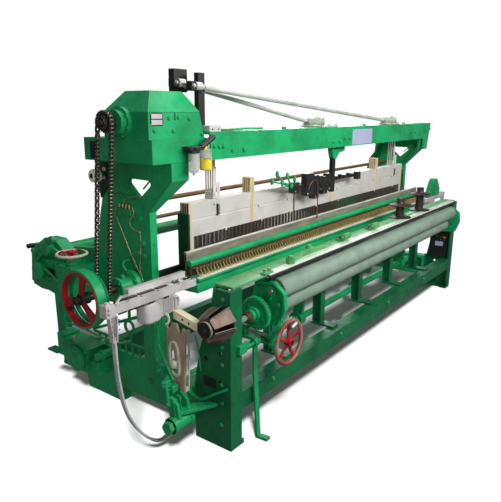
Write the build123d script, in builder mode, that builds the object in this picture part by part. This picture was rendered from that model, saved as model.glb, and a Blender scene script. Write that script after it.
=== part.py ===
from build123d import *
import math
import os

os.makedirs("parts", exist_ok=True)

# Shuttleless loom. X runs along the cloth width, +Y to the warp side, +Z up.
# The weaver stands at -Y, and the dobby drive is at the -X end.

# Driving dimensions in millimetres
FRAME_HALF = 1793.0        # loom centre to the outer face of a side frame
FRONT_Y = -794.0           # front face of the stands
FRAME_WIDTH = 93.0         # side frame across its rim
NECK_WIDTH = 50.0          # the same along the neck
HEAD_WIDTH = 125.0         # and at the head
WEB_THICKNESS = 22.0       # web of a side frame
RIM_THICKNESS = 26.0       # rim of a side frame
RAIL_CLEARANCE = 0.3       # seated pieces
SHAFT_CLEARANCE = 0.05     # radial, running fits

HEAD_TOP = 1490.0          # top of the side frames
BEAM_HEIGHT = 146.0
BEAM_DEPTH = 125.0
BEAM_WALL = 12.0
BEAM_FRONT = 345.0         # behind the stands' front face

TABLE_TOP = 900.0
TABLE_THICKNESS = 14.0
TABLE_FRONT = 14.0
TABLE_BACK = 135.0
TABLE_SKIRT = 48.0
NOSE_FRONT = -10.0         # rounded front of the table between the brackets
NOSE_DROP = 26.0

STAND_DEPTH = 249.0
STAND_PLATE = 24.0
STAND_HEIGHT = TABLE_TOP - TABLE_THICKNESS

RAIL_TOP = 306.0
RAIL_HEIGHT = 100.0
RAIL_DEPTH = 90.0
RAIL_WALL = 14.0

PRESS_ROLLER_Y = 20.0
PRESS_ROLLER_Z = 788.0
TAKE_UP_Y = 80.0
TAKE_UP_Z = 666.0
ROLLER_RADIUS = 61.0
ROLLER_JOURNAL = 17.0
ROLLER_START = 430.0       # rollers' left ends, inward from the side frame's outer face
ROLLER_FINISH = 150.0      # their right ends, the same at the right
BRACKET_START = 378.0      # left roller bracket
BRACKET_FINISH = 104.0     # right roller bracket
BRACKET_THICKNESS = 24.0

GEAR_TEETH = 46
GEAR_MODULE = 4.0
GEAR_WIDTH = 26.0
GEAR_X = 310.0             # inward from the side frame's outer face

SHAFT_Y = 680.0            # main shaft behind the front face
SHAFT_Z = 808.0
SHAFT_RADIUS = 22.0
FLYWHEEL_RADIUS = 156.0
FLYWHEEL_X = -388.0        # outer face of the flywheel, from the side frame's outer face
FLYWHEEL_WIDTH = 58.0

CHAIN_PITCH = 19.05
CHAIN_LINKS = 110
CHAIN_PLANE = -235.0       # chain, from the side frame's outer face
SPROCKET_TEETH = 17
CHAIN_LEAN = 96.0          # upper sprocket in front of the main shaft

FRAME_COUNT = 4
FRAME_PITCH = 18.0
FRAME_THICKNESS = 12.0
HEALD_FIRST_Y = 500.0
HEALD_START = 247.0
HEALD_TOP = 1240.0
HEALD_BOTTOM = 720.0

SLEY_PIVOT_Y = 420.0
SLEY_PIVOT_Z = 250.0
SLEY_FRONT = 296.0
SLEY_BACK = 400.0
SLEY_RACE = 880.0
SLEY_DEPTH = 90.0          # sley beam from the race down

HEAD_LEFT = -131.0         # platform and dobby box, from the side frame's outer face
HEAD_RIGHT = 265.0
PLATFORM_HEIGHT = 118.0
PLATFORM_FRONT = 372.0
PLATFORM_BACK = 894.0
BOX_HEIGHT = 132.0
LID_HEIGHT = 102.0
POST_HEIGHT = 118.0

TRAY_START = -470.0
TRAY_END = 75.0
TRAY_FRONT = 294.0
TRAY_BACK = 400.0
TRAY_FLOOR = 846.0
TRAY_TOP = 884.0

WORM_DROP = 114.0          # front handwheel shaft below the take-up axis
HANDWHEEL_RADIUS = 130.0
HANDWHEEL_Y = -140.0


def inward(x):
    """X of a place measured inward from the left side frame's outer face."""
    return x - FRAME_HALF


def behind(y):
    """Y of a place measured behind the stands' front face."""
    return y + FRONT_Y


def write_part(part, node):
    """Label a finished piece and write it under its node name."""
    part.label = node
    export_step(part, f"parts/{node}.step")


def block(x0, x1, y0, y1, z0, z1, mode=Mode.ADD):
    """Add a block between two corners, Y counted behind the front face."""
    with BuildSketch(Plane.XY.offset(z0)) as area:
        with Locations(((x0 + x1) / 2, behind((y0 + y1) / 2))):
            Rectangle(x1 - x0, y1 - y0)
    extrude(area.sketch, amount=z1 - z0, mode=mode)


def side_plate(points, x0, x1, radius=0.0, mode=Mode.ADD):
    """Add a plate with a side-view outline of (y, z) points, between two X planes."""
    with BuildSketch(Plane.YZ.offset(x0)) as area:
        with BuildLine():
            Polyline([(behind(y), z) for y, z in points], close=True)
        make_face()
        if radius:
            fillet(area.vertices(), radius)
    extrude(area.sketch, amount=x1 - x0, mode=mode)


def front_plate(points, y0, y1, radius=0.0, mode=Mode.ADD):
    """Add a plate with a front-view outline of (x, z) points, between two Y planes."""
    with BuildSketch(Plane.XZ.offset(-behind(y0))) as area:
        with BuildLine():
            Polyline(points, close=True)
        make_face()
        if radius:
            fillet(area.vertices(), radius)
    extrude(area.sketch, amount=y0 - y1, mode=mode)


def top_plate(points, z0, z1, radius=0.0, mode=Mode.ADD):
    """Add a plate with a plan-view outline of (x, y) points, between two heights."""
    with BuildSketch(Plane.XY.offset(z0)) as area:
        with BuildLine():
            Polyline([(x, behind(y)) for x, y in points], close=True)
        make_face()
        if radius:
            fillet(area.vertices(), radius)
    extrude(area.sketch, amount=z1 - z0, mode=mode)


def rod_x(x0, x1, y, z, radius, mode=Mode.ADD):
    """Add a round bar along X."""
    with BuildSketch(Plane.YZ.offset(x0)) as area:
        with Locations((behind(y), z)):
            Circle(radius)
    extrude(area.sketch, amount=x1 - x0, mode=mode)


def rod_y(x, y0, y1, z, radius, mode=Mode.ADD):
    """Add a round bar along Y."""
    with BuildSketch(Plane.XZ.offset(-behind(y0))) as area:
        with Locations((x, z)):
            Circle(radius)
    extrude(area.sketch, amount=y0 - y1, mode=mode)


def rod_z(x, y, z0, z1, radius, mode=Mode.ADD):
    """Add a round bar along Z."""
    with BuildSketch(Plane.XY.offset(z0)) as area:
        with Locations((x, behind(y))):
            Circle(radius)
    extrude(area.sketch, amount=z1 - z0, mode=mode)


# Side frames: a channel casting, web outside, rim all round, wider at the head and narrow at the neck
NECK_FRONT = 551.0
NECK_TOP = 1218.0
HEAD_CORNER = 1397.0
ARM_BACK = 1750.0
FRAME_OUTLINE = [
    (STAND_DEPTH + RAIL_CLEARANCE, 100), (862, 100), (862, 0), (1186, 0), (1200, 85), (1310, 200),
    (1490, 300), (1496, 570), (ARM_BACK, 616), (ARM_BACK - 36, 878), (1500, 900), (1000, 955),
    (970, 1151), (938, 1262), (866, 1340), (849, 1410), (894, HEAD_TOP), (PLATFORM_FRONT + 5, HEAD_TOP),
    (PLATFORM_FRONT + 5, HEAD_CORNER), (NECK_FRONT, NECK_TOP), (NECK_FRONT, 380), (500, 300),
    (STAND_DEPTH + RAIL_CLEARANCE, 300),
]
WINDOW_OUTLINE = [(505, 1388), (735, 1392), (620, 1290)]
LOWER_WINDOW = [(640, 340), (1410, 340), (1410, 560), (1100, 640), (640, 640)]
RIM_CUT = [
    (inward(FRAME_WIDTH), -1), (inward(FRAME_WIDTH), 640), (inward(NECK_WIDTH), 700),
    (inward(NECK_WIDTH), NECK_TOP), (inward(HEAD_WIDTH), HEAD_CORNER), (inward(HEAD_WIDTH), HEAD_TOP + 1),
    (inward(HEAD_WIDTH + 9), HEAD_TOP + 1), (inward(HEAD_WIDTH + 9), -1),
]

with BuildPart() as left_side_frame:
    side_plate(FRAME_OUTLINE, inward(0), inward(HEAD_WIDTH))
    with BuildSketch(Plane.YZ.offset(inward(WEB_THICKNESS))) as pocket:
        with BuildLine():
            Polyline([(behind(y), z) for y, z in FRAME_OUTLINE], close=True)
        make_face()
        offset(amount=-RIM_THICKNESS, kind=Kind.INTERSECTION)
    extrude(pocket.sketch, amount=HEAD_WIDTH, mode=Mode.SUBTRACT)
    front_plate(RIM_CUT, STAND_DEPTH - 1, ARM_BACK + 1, mode=Mode.SUBTRACT)
    side_plate(WINDOW_OUTLINE, inward(0), inward(WEB_THICKNESS), 18, Mode.SUBTRACT)
    side_plate(LOWER_WINDOW, inward(0), inward(WEB_THICKNESS), 40, Mode.SUBTRACT)
    rod_x(inward(0), inward(FRAME_WIDTH), SLEY_PIVOT_Y, SLEY_PIVOT_Z, 46)
    rod_x(inward(0), inward(FRAME_WIDTH), SHAFT_Y, SHAFT_Z, SHAFT_RADIUS + 34)
    rod_x(inward(0), inward(FRAME_WIDTH), SHAFT_Y, SHAFT_Z, SHAFT_RADIUS + RAIL_CLEARANCE, Mode.SUBTRACT)
write_part(left_side_frame.part, "left_side_frame")

with BuildPart() as right_side_frame:
    mirror(left_side_frame.part, about=Plane.YZ)
write_part(right_side_frame.part, "right_side_frame")

# Front stands: a plate facing out that narrows to the table, with a flange across the front
STAND_FLANGE = 16.0
STAND_NECK = 95.0
STAND_OUTLINE = [
    (0, 0), (STAND_DEPTH, 0), (STAND_DEPTH, 320), (215, 520), (150, 700), (STAND_NECK, 760),
    (STAND_NECK, STAND_HEIGHT), (0, STAND_HEIGHT),
]
STAND_HOLES = [(70, 380), (165, 380), (70, 540), (165, 250)]
FOOT_WIDTH = 112.0


def make_stand():
    """Build the stand of the left side."""
    with BuildPart() as stand:
        side_plate(STAND_OUTLINE, inward(0), inward(STAND_PLATE))
        block(inward(0), inward(FRAME_WIDTH), 0, STAND_FLANGE, 0, STAND_HEIGHT)
        block(inward(0), inward(FRAME_WIDTH), STAND_DEPTH - STAND_FLANGE, STAND_DEPTH, 0, 320)
        block(inward(0), inward(FRAME_WIDTH), 0, STAND_DEPTH, 0, STAND_FLANGE)
        block(inward(0), inward(FOOT_WIDTH), 0, 60, 0, 24)
        block(inward(0), inward(FRAME_WIDTH - 10), STAND_NECK - STAND_FLANGE, STAND_NECK, 770, STAND_HEIGHT)
        for hole_y, hole_z in STAND_HOLES:
            rod_x(inward(0), inward(STAND_PLATE), hole_y, hole_z, 14, Mode.SUBTRACT)
    return stand.part


with BuildPart() as left_front_stand:
    add(make_stand())
    rod_x(inward(0), inward(FRAME_WIDTH + 40), TAKE_UP_Y, TAKE_UP_Z, 34)
    rod_x(inward(0), inward(FRAME_WIDTH + 40), TAKE_UP_Y, TAKE_UP_Z,
          ROLLER_JOURNAL + SHAFT_CLEARANCE, Mode.SUBTRACT)
write_part(left_front_stand.part, "left_front_stand")

with BuildPart() as right_front_stand:
    mirror(make_stand(), about=Plane.YZ)
write_part(right_front_stand.part, "right_front_stand")

# Control box inside the right stand
with BuildPart() as control_box:
    block(-inward(FRAME_WIDTH), -inward(STAND_PLATE), 30, 205, 335, 560)
    for button_y in (60, 95, 130):
        rod_x(-inward(FRAME_WIDTH + 12), -inward(FRAME_WIDTH), button_y, 525, 11)
write_part(control_box.part, "control_box")

# Top beam: a channel open to the back on the two heads, with a tapered plate closing its right end
BEAM_TOP = HEAD_TOP + BEAM_HEIGHT
BEAM_OVERHANG = 40.0
with BuildPart() as top_beam:
    side_plate([(BEAM_FRONT, HEAD_TOP), (BEAM_FRONT + BEAM_DEPTH, HEAD_TOP),
                (BEAM_FRONT + BEAM_DEPTH, HEAD_TOP + BEAM_WALL),
                (BEAM_FRONT + BEAM_WALL, HEAD_TOP + BEAM_WALL),
                (BEAM_FRONT + BEAM_WALL, BEAM_TOP - BEAM_WALL),
                (BEAM_FRONT + BEAM_DEPTH, BEAM_TOP - BEAM_WALL),
                (BEAM_FRONT + BEAM_DEPTH, BEAM_TOP),
                (BEAM_FRONT, BEAM_TOP)],
               inward(HEAD_RIGHT + RAIL_CLEARANCE), FRAME_HALF)
    front_plate([(-inward(HEAD_WIDTH), HEAD_TOP), (-inward(HEAD_WIDTH), HEAD_CORNER - 12),
                 (FRAME_HALF - 20, HEAD_CORNER - 12), (FRAME_HALF + BEAM_OVERHANG, BEAM_TOP),
                 (FRAME_HALF - 1, BEAM_TOP)], BEAM_FRONT, BEAM_FRONT + BEAM_WALL)
write_part(top_beam.part, "top_beam")

# Rails between the stands and between the rear feet, and the supports under the table
with BuildPart() as front_bottom_rail:
    side_plate([(2, RAIL_TOP - RAIL_HEIGHT), (RAIL_DEPTH, RAIL_TOP - RAIL_HEIGHT),
                (RAIL_DEPTH, RAIL_TOP - RAIL_HEIGHT + RAIL_WALL),
                (2 + RAIL_WALL, RAIL_TOP - RAIL_HEIGHT + RAIL_WALL),
                (2 + RAIL_WALL, RAIL_TOP - RAIL_WALL), (RAIL_DEPTH, RAIL_TOP - RAIL_WALL),
                (RAIL_DEPTH, RAIL_TOP), (2, RAIL_TOP)],
               inward(FRAME_WIDTH), -inward(FRAME_WIDTH))
write_part(front_bottom_rail.part, "front_bottom_rail")

REAR_RAIL_Y = 1060.0
with BuildPart() as rear_bottom_rail:
    side_plate([(REAR_RAIL_Y, 120), (REAR_RAIL_Y + RAIL_WALL, 120), (REAR_RAIL_Y + RAIL_WALL, 286),
                (REAR_RAIL_Y + 70, 286), (REAR_RAIL_Y + 70, 300), (REAR_RAIL_Y, 300)],
               inward(WEB_THICKNESS), -inward(WEB_THICKNESS))
write_part(rear_bottom_rail.part, "rear_bottom_rail")

SUPPORT_COUNT = 5
SUPPORT_SPACING = 590.0
SUPPORT_FRONT = 150.0
SUPPORT_BACK = 215.0
SUPPORT_FOOT = 12.0
with BuildPart() as table_supports:
    for support_number in range(SUPPORT_COUNT):
        support_x = (support_number - (SUPPORT_COUNT - 1) / 2) * SUPPORT_SPACING
        foot_top = RAIL_TOP + SUPPORT_FOOT
        block(support_x - 38, support_x + 38, 45, SUPPORT_BACK + 8, RAIL_TOP, foot_top)
        side_plate([(SUPPORT_FRONT, foot_top), (SUPPORT_BACK, foot_top), (SUPPORT_BACK, 760),
                    (SUPPORT_FRONT, 840), (TABLE_BACK - 10, 840), (TABLE_BACK - 10, STAND_HEIGHT),
                    (TABLE_BACK - 40, STAND_HEIGHT), (TABLE_BACK - 34, 830), (SUPPORT_FRONT, 750)],
                   support_x - 6, support_x + 6)
        block(support_x - 28, support_x + 28, SUPPORT_FRONT, SUPPORT_FRONT + 9, foot_top, 740)
        block(support_x - 28, support_x + 28, SUPPORT_BACK - 9, SUPPORT_BACK, foot_top, 760)
write_part(table_supports.part, "table_supports")

# Rocking shaft of the sley, carried by the side frames
SHAFT_ROCK_RADIUS = 30.0
with BuildPart() as rocking_shaft:
    rod_x(inward(FRAME_WIDTH), -inward(FRAME_WIDTH), SLEY_PIVOT_Y, SLEY_PIVOT_Z, SHAFT_ROCK_RADIUS)
write_part(rocking_shaft.part, "rocking_shaft")

# Table: a plate with a back skirt on the two stands, and a rounded nose between the roller brackets
TABLE_START = 37.0
NOSE_START = 330.0
LIP_THICKNESS = 8.0
with BuildPart() as table:
    side_plate([(TABLE_FRONT, STAND_HEIGHT), (TABLE_BACK - LIP_THICKNESS, STAND_HEIGHT),
                (TABLE_BACK - LIP_THICKNESS, TABLE_TOP - TABLE_SKIRT),
                (TABLE_BACK, TABLE_TOP - TABLE_SKIRT), (TABLE_BACK, TABLE_TOP), (TABLE_FRONT, TABLE_TOP)],
               inward(TABLE_START), -inward(TABLE_START))
    side_plate([(TABLE_FRONT, STAND_HEIGHT), (TABLE_FRONT, TABLE_TOP), (NOSE_FRONT + 9, TABLE_TOP),
                (NOSE_FRONT + 3, TABLE_TOP - 3), (NOSE_FRONT, TABLE_TOP - 9), (NOSE_FRONT, TABLE_TOP - NOSE_DROP),
                (NOSE_FRONT + LIP_THICKNESS, TABLE_TOP - NOSE_DROP), (NOSE_FRONT + LIP_THICKNESS, STAND_HEIGHT)],
               inward(NOSE_START), -inward(BRACKET_FINISH))
write_part(table.part, "table")

# Cloth temples on the table: a foot, an arm and a ring roller each
TEMPLE_PLACES = (1290.0, 1750.0)
with BuildPart() as temples:
    for temple_x in TEMPLE_PLACES:
        block(inward(temple_x - 34), inward(temple_x + 30), 40, 112, TABLE_TOP, TABLE_TOP + 10)
        block(inward(temple_x - 12), inward(temple_x + 12), 28, 118, TABLE_TOP + 10, TABLE_TOP + 30)
        rod_x(inward(temple_x - 40), inward(temple_x + 52), 46, TABLE_TOP + 30, 22)
write_part(temples.part, "temples")

# Stop lever lying along the table
LEVER_LINE = [(560, 20), (600, 44), (800, 92), (900, 112), (1050, 70), (1046, 54), (900, 92), (806, 70), (610, 22)]
with BuildPart() as stop_lever:
    top_plate([(inward(x), y) for x, y in LEVER_LINE], TABLE_TOP, TABLE_TOP + 18)
    rod_z(inward(590), 34, TABLE_TOP, TABLE_TOP + 34, 26)
    rod_z(inward(900), 100, TABLE_TOP, TABLE_TOP + 30, 20)
write_part(stop_lever.part, "stop_lever")

# Rollers: journals run in the two roller brackets
BRACKET_OUTLINE = [(126, 832), (2, 846), (-68, 790), (-78, 700), (-40, 600), (130, 585), (165, 640)]
BRACKET_INNER = [(112, 818), (8, 829), (-54, 780), (-63, 702), (-30, 615), (122, 601), (149, 644)]
JOURNAL_END = BRACKET_START + 2


def make_roller(y, z, start):
    """Build a roller with its journals, the left one from the given place."""
    with BuildPart() as roller:
        rod_x(inward(ROLLER_START), -inward(ROLLER_FINISH), y, z, ROLLER_RADIUS)
        rod_x(inward(start), -inward(BRACKET_FINISH + 2), y, z, ROLLER_JOURNAL)
    return roller.part


write_part(make_roller(PRESS_ROLLER_Y, PRESS_ROLLER_Z, JOURNAL_END), "press_roller")
write_part(make_roller(TAKE_UP_Y, TAKE_UP_Z, 4), "take_up_roller")


def make_roller_bracket(face, hub):
    """Build one roller bracket between its outer face and the end of its hubs."""
    outer = min(face, face + BRACKET_THICKNESS * math.copysign(1, hub - face))
    with BuildPart() as bracket:
        side_plate(BRACKET_OUTLINE, outer, outer + BRACKET_THICKNESS, 12)
        dish_start = outer if hub > face else outer + 10
        side_plate(BRACKET_INNER, dish_start, dish_start + BRACKET_THICKNESS - 10, 10, Mode.SUBTRACT)
        for axis_y, axis_z in ((PRESS_ROLLER_Y, PRESS_ROLLER_Z), (TAKE_UP_Y, TAKE_UP_Z)):
            rod_x(min(face, hub), max(face, hub), axis_y, axis_z, ROLLER_JOURNAL + 14)
            rod_x(min(face, hub), max(face, hub), axis_y, axis_z, ROLLER_JOURNAL + SHAFT_CLEARANCE, Mode.SUBTRACT)
        block(outer, outer + BRACKET_THICKNESS, 60, TABLE_BACK - 20, 815, STAND_HEIGHT)
    return bracket.part


with BuildPart() as roller_brackets:
    add(make_roller_bracket(inward(BRACKET_START), inward(BRACKET_START + BRACKET_THICKNESS + 12)))
    add(make_roller_bracket(-inward(BRACKET_FINISH), -inward(BRACKET_FINISH + BRACKET_THICKNESS + 12)))
write_part(roller_brackets.part, "roller_brackets")

# Take-up gear on the left end of the take-up roller: toothed rim, dished web, long hub
GEAR_RADIUS = GEAR_TEETH * GEAR_MODULE / 2
with BuildPart() as take_up_gear:
    with BuildSketch(Plane.YZ.offset(inward(GEAR_X))):
        with Locations((behind(TAKE_UP_Y), TAKE_UP_Z)):
            Circle(GEAR_RADIUS - 1.25 * GEAR_MODULE)
            with PolarLocations(GEAR_RADIUS - 0.35 * GEAR_MODULE, GEAR_TEETH):
                Rectangle(2.6 * GEAR_MODULE, 1.5 * GEAR_MODULE)
    extrude(amount=GEAR_WIDTH)
    rod_x(inward(GEAR_X), inward(GEAR_X + 9), TAKE_UP_Y, TAKE_UP_Z, GEAR_RADIUS - 20, Mode.SUBTRACT)
    rod_x(inward(GEAR_X - 52), inward(GEAR_X + GEAR_WIDTH + 12), TAKE_UP_Y, TAKE_UP_Z, 34)
    rod_x(inward(GEAR_X - 30), inward(GEAR_X - 14), TAKE_UP_Y, TAKE_UP_Z, 46)
    rod_x(inward(GEAR_X - 52), inward(GEAR_X + GEAR_WIDTH + 12), TAKE_UP_Y, TAKE_UP_Z,
          ROLLER_JOURNAL, Mode.SUBTRACT)
write_part(take_up_gear.part, "take_up_gear")

# Worm bracket under the gear, with the front handwheel's shaft running through it
WORM_X = inward(GEAR_X + GEAR_WIDTH / 2)
WORM_Z = TAKE_UP_Z - WORM_DROP
with BuildPart() as worm_bracket:
    block(WORM_X - 30, WORM_X + 30, -60, 180, WORM_Z - 40, WORM_Z - 24)
    for bearing_start, bearing_end in ((-60, -14), (140, 180)):
        rod_y(WORM_X, bearing_start, bearing_end, WORM_Z, 26)
    block(WORM_X + 20, inward(BRACKET_START), 20, 60, WORM_Z - 40, WORM_Z - 10)
    block(inward(BRACKET_START - 14), inward(BRACKET_START), 20, 60, WORM_Z - 40, WORM_Z + 100)
    front_plate([(WORM_X - 30, WORM_Z - 40), (WORM_X - 60, WORM_Z - 40), (WORM_X - 60, WORM_Z - 24),
                 (inward(BRACKET_START - 14), WORM_Z + 90), (inward(BRACKET_START), WORM_Z + 90),
                 (inward(BRACKET_START), WORM_Z - 40)], -60, -46)
    front_plate([(WORM_X - 6, WORM_Z - 26), (inward(BRACKET_START - 8), WORM_Z + 56),
                 (inward(BRACKET_START - 8), WORM_Z - 26)], -60, -46, 4, Mode.SUBTRACT)
    rod_y(WORM_X, -60, -14, WORM_Z, 26)
    rod_y(WORM_X, -60, 180, WORM_Z, 12 + SHAFT_CLEARANCE, Mode.SUBTRACT)
write_part(worm_bracket.part, "worm_bracket")


def make_handwheel(radius, rim, spokes, hub_length):
    """Build a handwheel about Z, its rim centred on the origin, with spokes that widen outwards."""
    inner = radius - 1.6 * rim
    with BuildPart() as wheel:
        with BuildSketch(Plane.XZ):
            with Locations((radius - rim, 0)):
                Circle(rim)
        revolve(axis=Axis.Z)
        with BuildSketch(Plane.XY.offset(-rim / 2)):
            with PolarLocations(0, spokes):
                Polygon((0, -0.8 * rim), (inner, -1.5 * rim), (inner, 1.5 * rim), (0, 0.8 * rim), align=None)
        extrude(amount=rim)
        with BuildSketch(Plane.XY.offset(-hub_length / 2)):
            Circle(2.2 * rim)
        extrude(amount=hub_length)
    return wheel.part


HANDWHEEL_RIM = 11.0
with BuildPart() as front_handwheel:
    with Locations(Plane.XZ.offset(-behind(HANDWHEEL_Y)).location * Location((WORM_X, WORM_Z, 0))):
        add(make_handwheel(HANDWHEEL_RADIUS, HANDWHEEL_RIM, 5, 44))
    rod_y(WORM_X, HANDWHEEL_Y - 20, 184, WORM_Z, 12)
write_part(front_handwheel.part, "front_handwheel")

# Foot pedal: a bent flat bar that hangs on a pin beside the left stand and leans forward
PEDAL_X = 178.0
PEDAL_WIDTH = 33.0
PEDAL_PIVOT_Z = 560.0
PEDAL_Y = -9.0
with BuildPart() as foot_pedal:
    side_plate([(PEDAL_Y - 6, PEDAL_PIVOT_Z + 24), (PEDAL_Y + 6, PEDAL_PIVOT_Z + 24), (PEDAL_Y + 6, 400),
                (PEDAL_Y - 20, 10), (PEDAL_Y - 96, 16), (PEDAL_Y - 96, 26), (PEDAL_Y - 31, 20),
                (PEDAL_Y - 6, 400)], inward(PEDAL_X), inward(PEDAL_X + PEDAL_WIDTH))
    rod_x(inward(PEDAL_X), inward(PEDAL_X + PEDAL_WIDTH), PEDAL_Y, PEDAL_PIVOT_Z, 22)
    rod_x(inward(PEDAL_X), inward(PEDAL_X + PEDAL_WIDTH), PEDAL_Y, PEDAL_PIVOT_Z,
          10 + SHAFT_CLEARANCE, Mode.SUBTRACT)
write_part(foot_pedal.part, "foot_pedal")

with BuildPart() as pedal_pin:
    rod_x(inward(FRAME_WIDTH), inward(PEDAL_X + PEDAL_WIDTH + 8), PEDAL_Y, PEDAL_PIVOT_Z, 10)
    block(inward(FRAME_WIDTH - 40), inward(FRAME_WIDTH + 20), PEDAL_Y - 10, 0, PEDAL_PIVOT_Z - 24,
          PEDAL_PIVOT_Z + 24)
write_part(pedal_pin.part, "pedal_pin")

# Head: platform, dobby box and its hipped lid
with BuildPart() as dobby_platform:
    block(inward(HEAD_LEFT), inward(HEAD_RIGHT), PLATFORM_FRONT, PLATFORM_BACK,
          HEAD_TOP, HEAD_TOP + PLATFORM_HEIGHT)
write_part(dobby_platform.part, "dobby_platform")

SPROCKET_RADIUS = CHAIN_PITCH / (2 * math.sin(math.pi / SPROCKET_TEETH))
CHAIN_SPAN = (CHAIN_LINKS - SPROCKET_TEETH) * CHAIN_PITCH / 2
UPPER_SPROCKET_Y = SHAFT_Y - CHAIN_LEAN
UPPER_SPROCKET_Z = SHAFT_Z + math.sqrt(CHAIN_SPAN ** 2 - CHAIN_LEAN ** 2)

BOX_FRONT = PLATFORM_FRONT + 20
BOX_BACK = 720.0
BOX_FLOOR = HEAD_TOP + PLATFORM_HEIGHT
BOX_TOP = BOX_FLOOR + BOX_HEIGHT
LID_TOP = BOX_TOP + LID_HEIGHT
with BuildPart() as dobby_box:
    front_plate([(inward(HEAD_LEFT), BOX_FLOOR), (inward(HEAD_RIGHT), BOX_FLOOR),
                 (inward(HEAD_RIGHT), BOX_FLOOR + 12), (inward(HEAD_RIGHT - 35), BOX_TOP),
                 (inward(HEAD_LEFT), BOX_TOP)], BOX_FRONT, BOX_BACK)
    rod_x(inward(HEAD_LEFT - 22), inward(HEAD_LEFT), UPPER_SPROCKET_Y, UPPER_SPROCKET_Z, 78)
    rod_x(inward(HEAD_LEFT - 52), inward(HEAD_LEFT - 22), UPPER_SPROCKET_Y, UPPER_SPROCKET_Z, 62)
write_part(dobby_box.part, "dobby_box")

with BuildPart() as dobby_lid:
    with BuildSketch(Plane.XY.offset(BOX_TOP)):
        with Locations((inward((HEAD_LEFT + HEAD_RIGHT) / 2 - 15), behind((BOX_FRONT + BOX_BACK) / 2))):
            Rectangle(HEAD_RIGHT - HEAD_LEFT - 30, BOX_BACK - BOX_FRONT)
    with BuildSketch(Plane.XY.offset(LID_TOP)):
        with Locations((inward((HEAD_LEFT + HEAD_RIGHT) / 2), behind((BOX_FRONT + BOX_BACK) / 2))):
            Rectangle(HEAD_RIGHT - HEAD_LEFT - 170, BOX_BACK - BOX_FRONT - 150)
    loft()
write_part(dobby_lid.part, "dobby_lid")

# Lever posts behind the lid and the two pull rods that run to the beam
POST_TOP = LID_TOP + POST_HEIGHT
ROD_END_Z = BEAM_TOP + 34
SHORT_ROD_START = (188.0, 505.0, POST_TOP - 72)
SHORT_ROD_END = (1545.0, 505.0, ROD_END_Z)
LONG_ROD_START = (234.0, 425.0, POST_TOP - 88)
LONG_ROD_END = (2700.0, 425.0, ROD_END_Z)
ROD_RADIUS = 14.0
CLEVIS_LENGTH = 36.0
CLEVIS_HALF = 20.0

with BuildPart() as lever_posts:
    block(inward(182), inward(281), SHORT_ROD_START[1] + 16, SHORT_ROD_START[1] + 56, LID_TOP, POST_TOP)
    block(inward(280), inward(330), LONG_ROD_START[1] + 15, LONG_ROD_START[1] + 45, BEAM_TOP, POST_TOP - 18)
    block(inward(200), inward(330), LONG_ROD_START[1] + 15, LONG_ROD_START[1] + 27,
          LONG_ROD_START[2] - 25, LONG_ROD_START[2] + 25)
    for start_x, start_y, start_z in (SHORT_ROD_START, LONG_ROD_START):
        block(inward(start_x - CLEVIS_LENGTH), inward(start_x), start_y - ROD_RADIUS, start_y + 16,
              start_z - CLEVIS_HALF, start_z + CLEVIS_HALF)
    block(inward(SHORT_ROD_START[0] - CLEVIS_LENGTH), inward(200), SHORT_ROD_START[1] + 16,
          SHORT_ROD_START[1] + 28, SHORT_ROD_START[2] - CLEVIS_HALF, SHORT_ROD_START[2] + CLEVIS_HALF)
write_part(lever_posts.part, "lever_posts")


def tilted_rod(start, end, radius):
    """Add a round bar between two (x, y, z) places, its tilted ends clear of their seats."""
    tilt = math.atan2(start[2] - end[2], end[0] - start[0])
    margin = radius * math.sin(tilt) + RAIL_CLEARANCE
    start_point = Vector(inward(start[0] + margin), behind(start[1]), start[2])
    end_point = Vector(inward(end[0] - margin), behind(end[1]), end[2])
    run = end_point - start_point
    with BuildSketch(Plane(origin=start_point, z_dir=run)) as area:
        Circle(radius)
    extrude(area.sketch, amount=run.length)


with BuildPart() as pull_rods:
    tilted_rod(SHORT_ROD_START, SHORT_ROD_END, ROD_RADIUS)
    tilted_rod(LONG_ROD_START, LONG_ROD_END, ROD_RADIUS)
write_part(pull_rods.part, "pull_rods")

with BuildPart() as crank_brackets:
    for end_x, end_y, end_z in (SHORT_ROD_END, LONG_ROD_END):
        block(inward(end_x - 60), inward(end_x + 170), BEAM_FRONT + 20, end_y + 40, BEAM_TOP, BEAM_TOP + 12)
        block(inward(end_x - 40), inward(end_x + 150), end_y - 34, end_y - 20, BEAM_TOP + 12, BEAM_TOP + 62)
        block(inward(end_x), inward(end_x + 30), end_y - 22, end_y + 20, BEAM_TOP + 12, BEAM_TOP + 58)
write_part(crank_brackets.part, "crank_brackets")

# Chain drive: two sprockets and a roller chain round them, link by link
CHAIN_WIDTH = 22.0
LINK_PLATE = 3.0
LINK_HALF = 8.4
CHAIN_ROLLER = 5.9


LEAN_ANGLE = math.degrees(math.atan2(CHAIN_LEAN, UPPER_SPROCKET_Z - SHAFT_Z))


def make_sprocket(y, z, phase, hub_start, hub_end, hub_radius):
    """Build one sprocket of the chain drive with its hub, a tooth at the given angle."""
    with BuildPart() as sprocket:
        with BuildSketch(Plane.YZ.offset(inward(CHAIN_PLANE - 4))):
            with Locations((behind(y), z)):
                Circle(SPROCKET_RADIUS - CHAIN_ROLLER)
                with PolarLocations(SPROCKET_RADIUS - 5, SPROCKET_TEETH, start_angle=phase):
                    Circle(2.9)
        extrude(amount=8)
        rod_x(inward(hub_start), inward(hub_end), y, z, hub_radius)
    return sprocket.part


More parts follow.
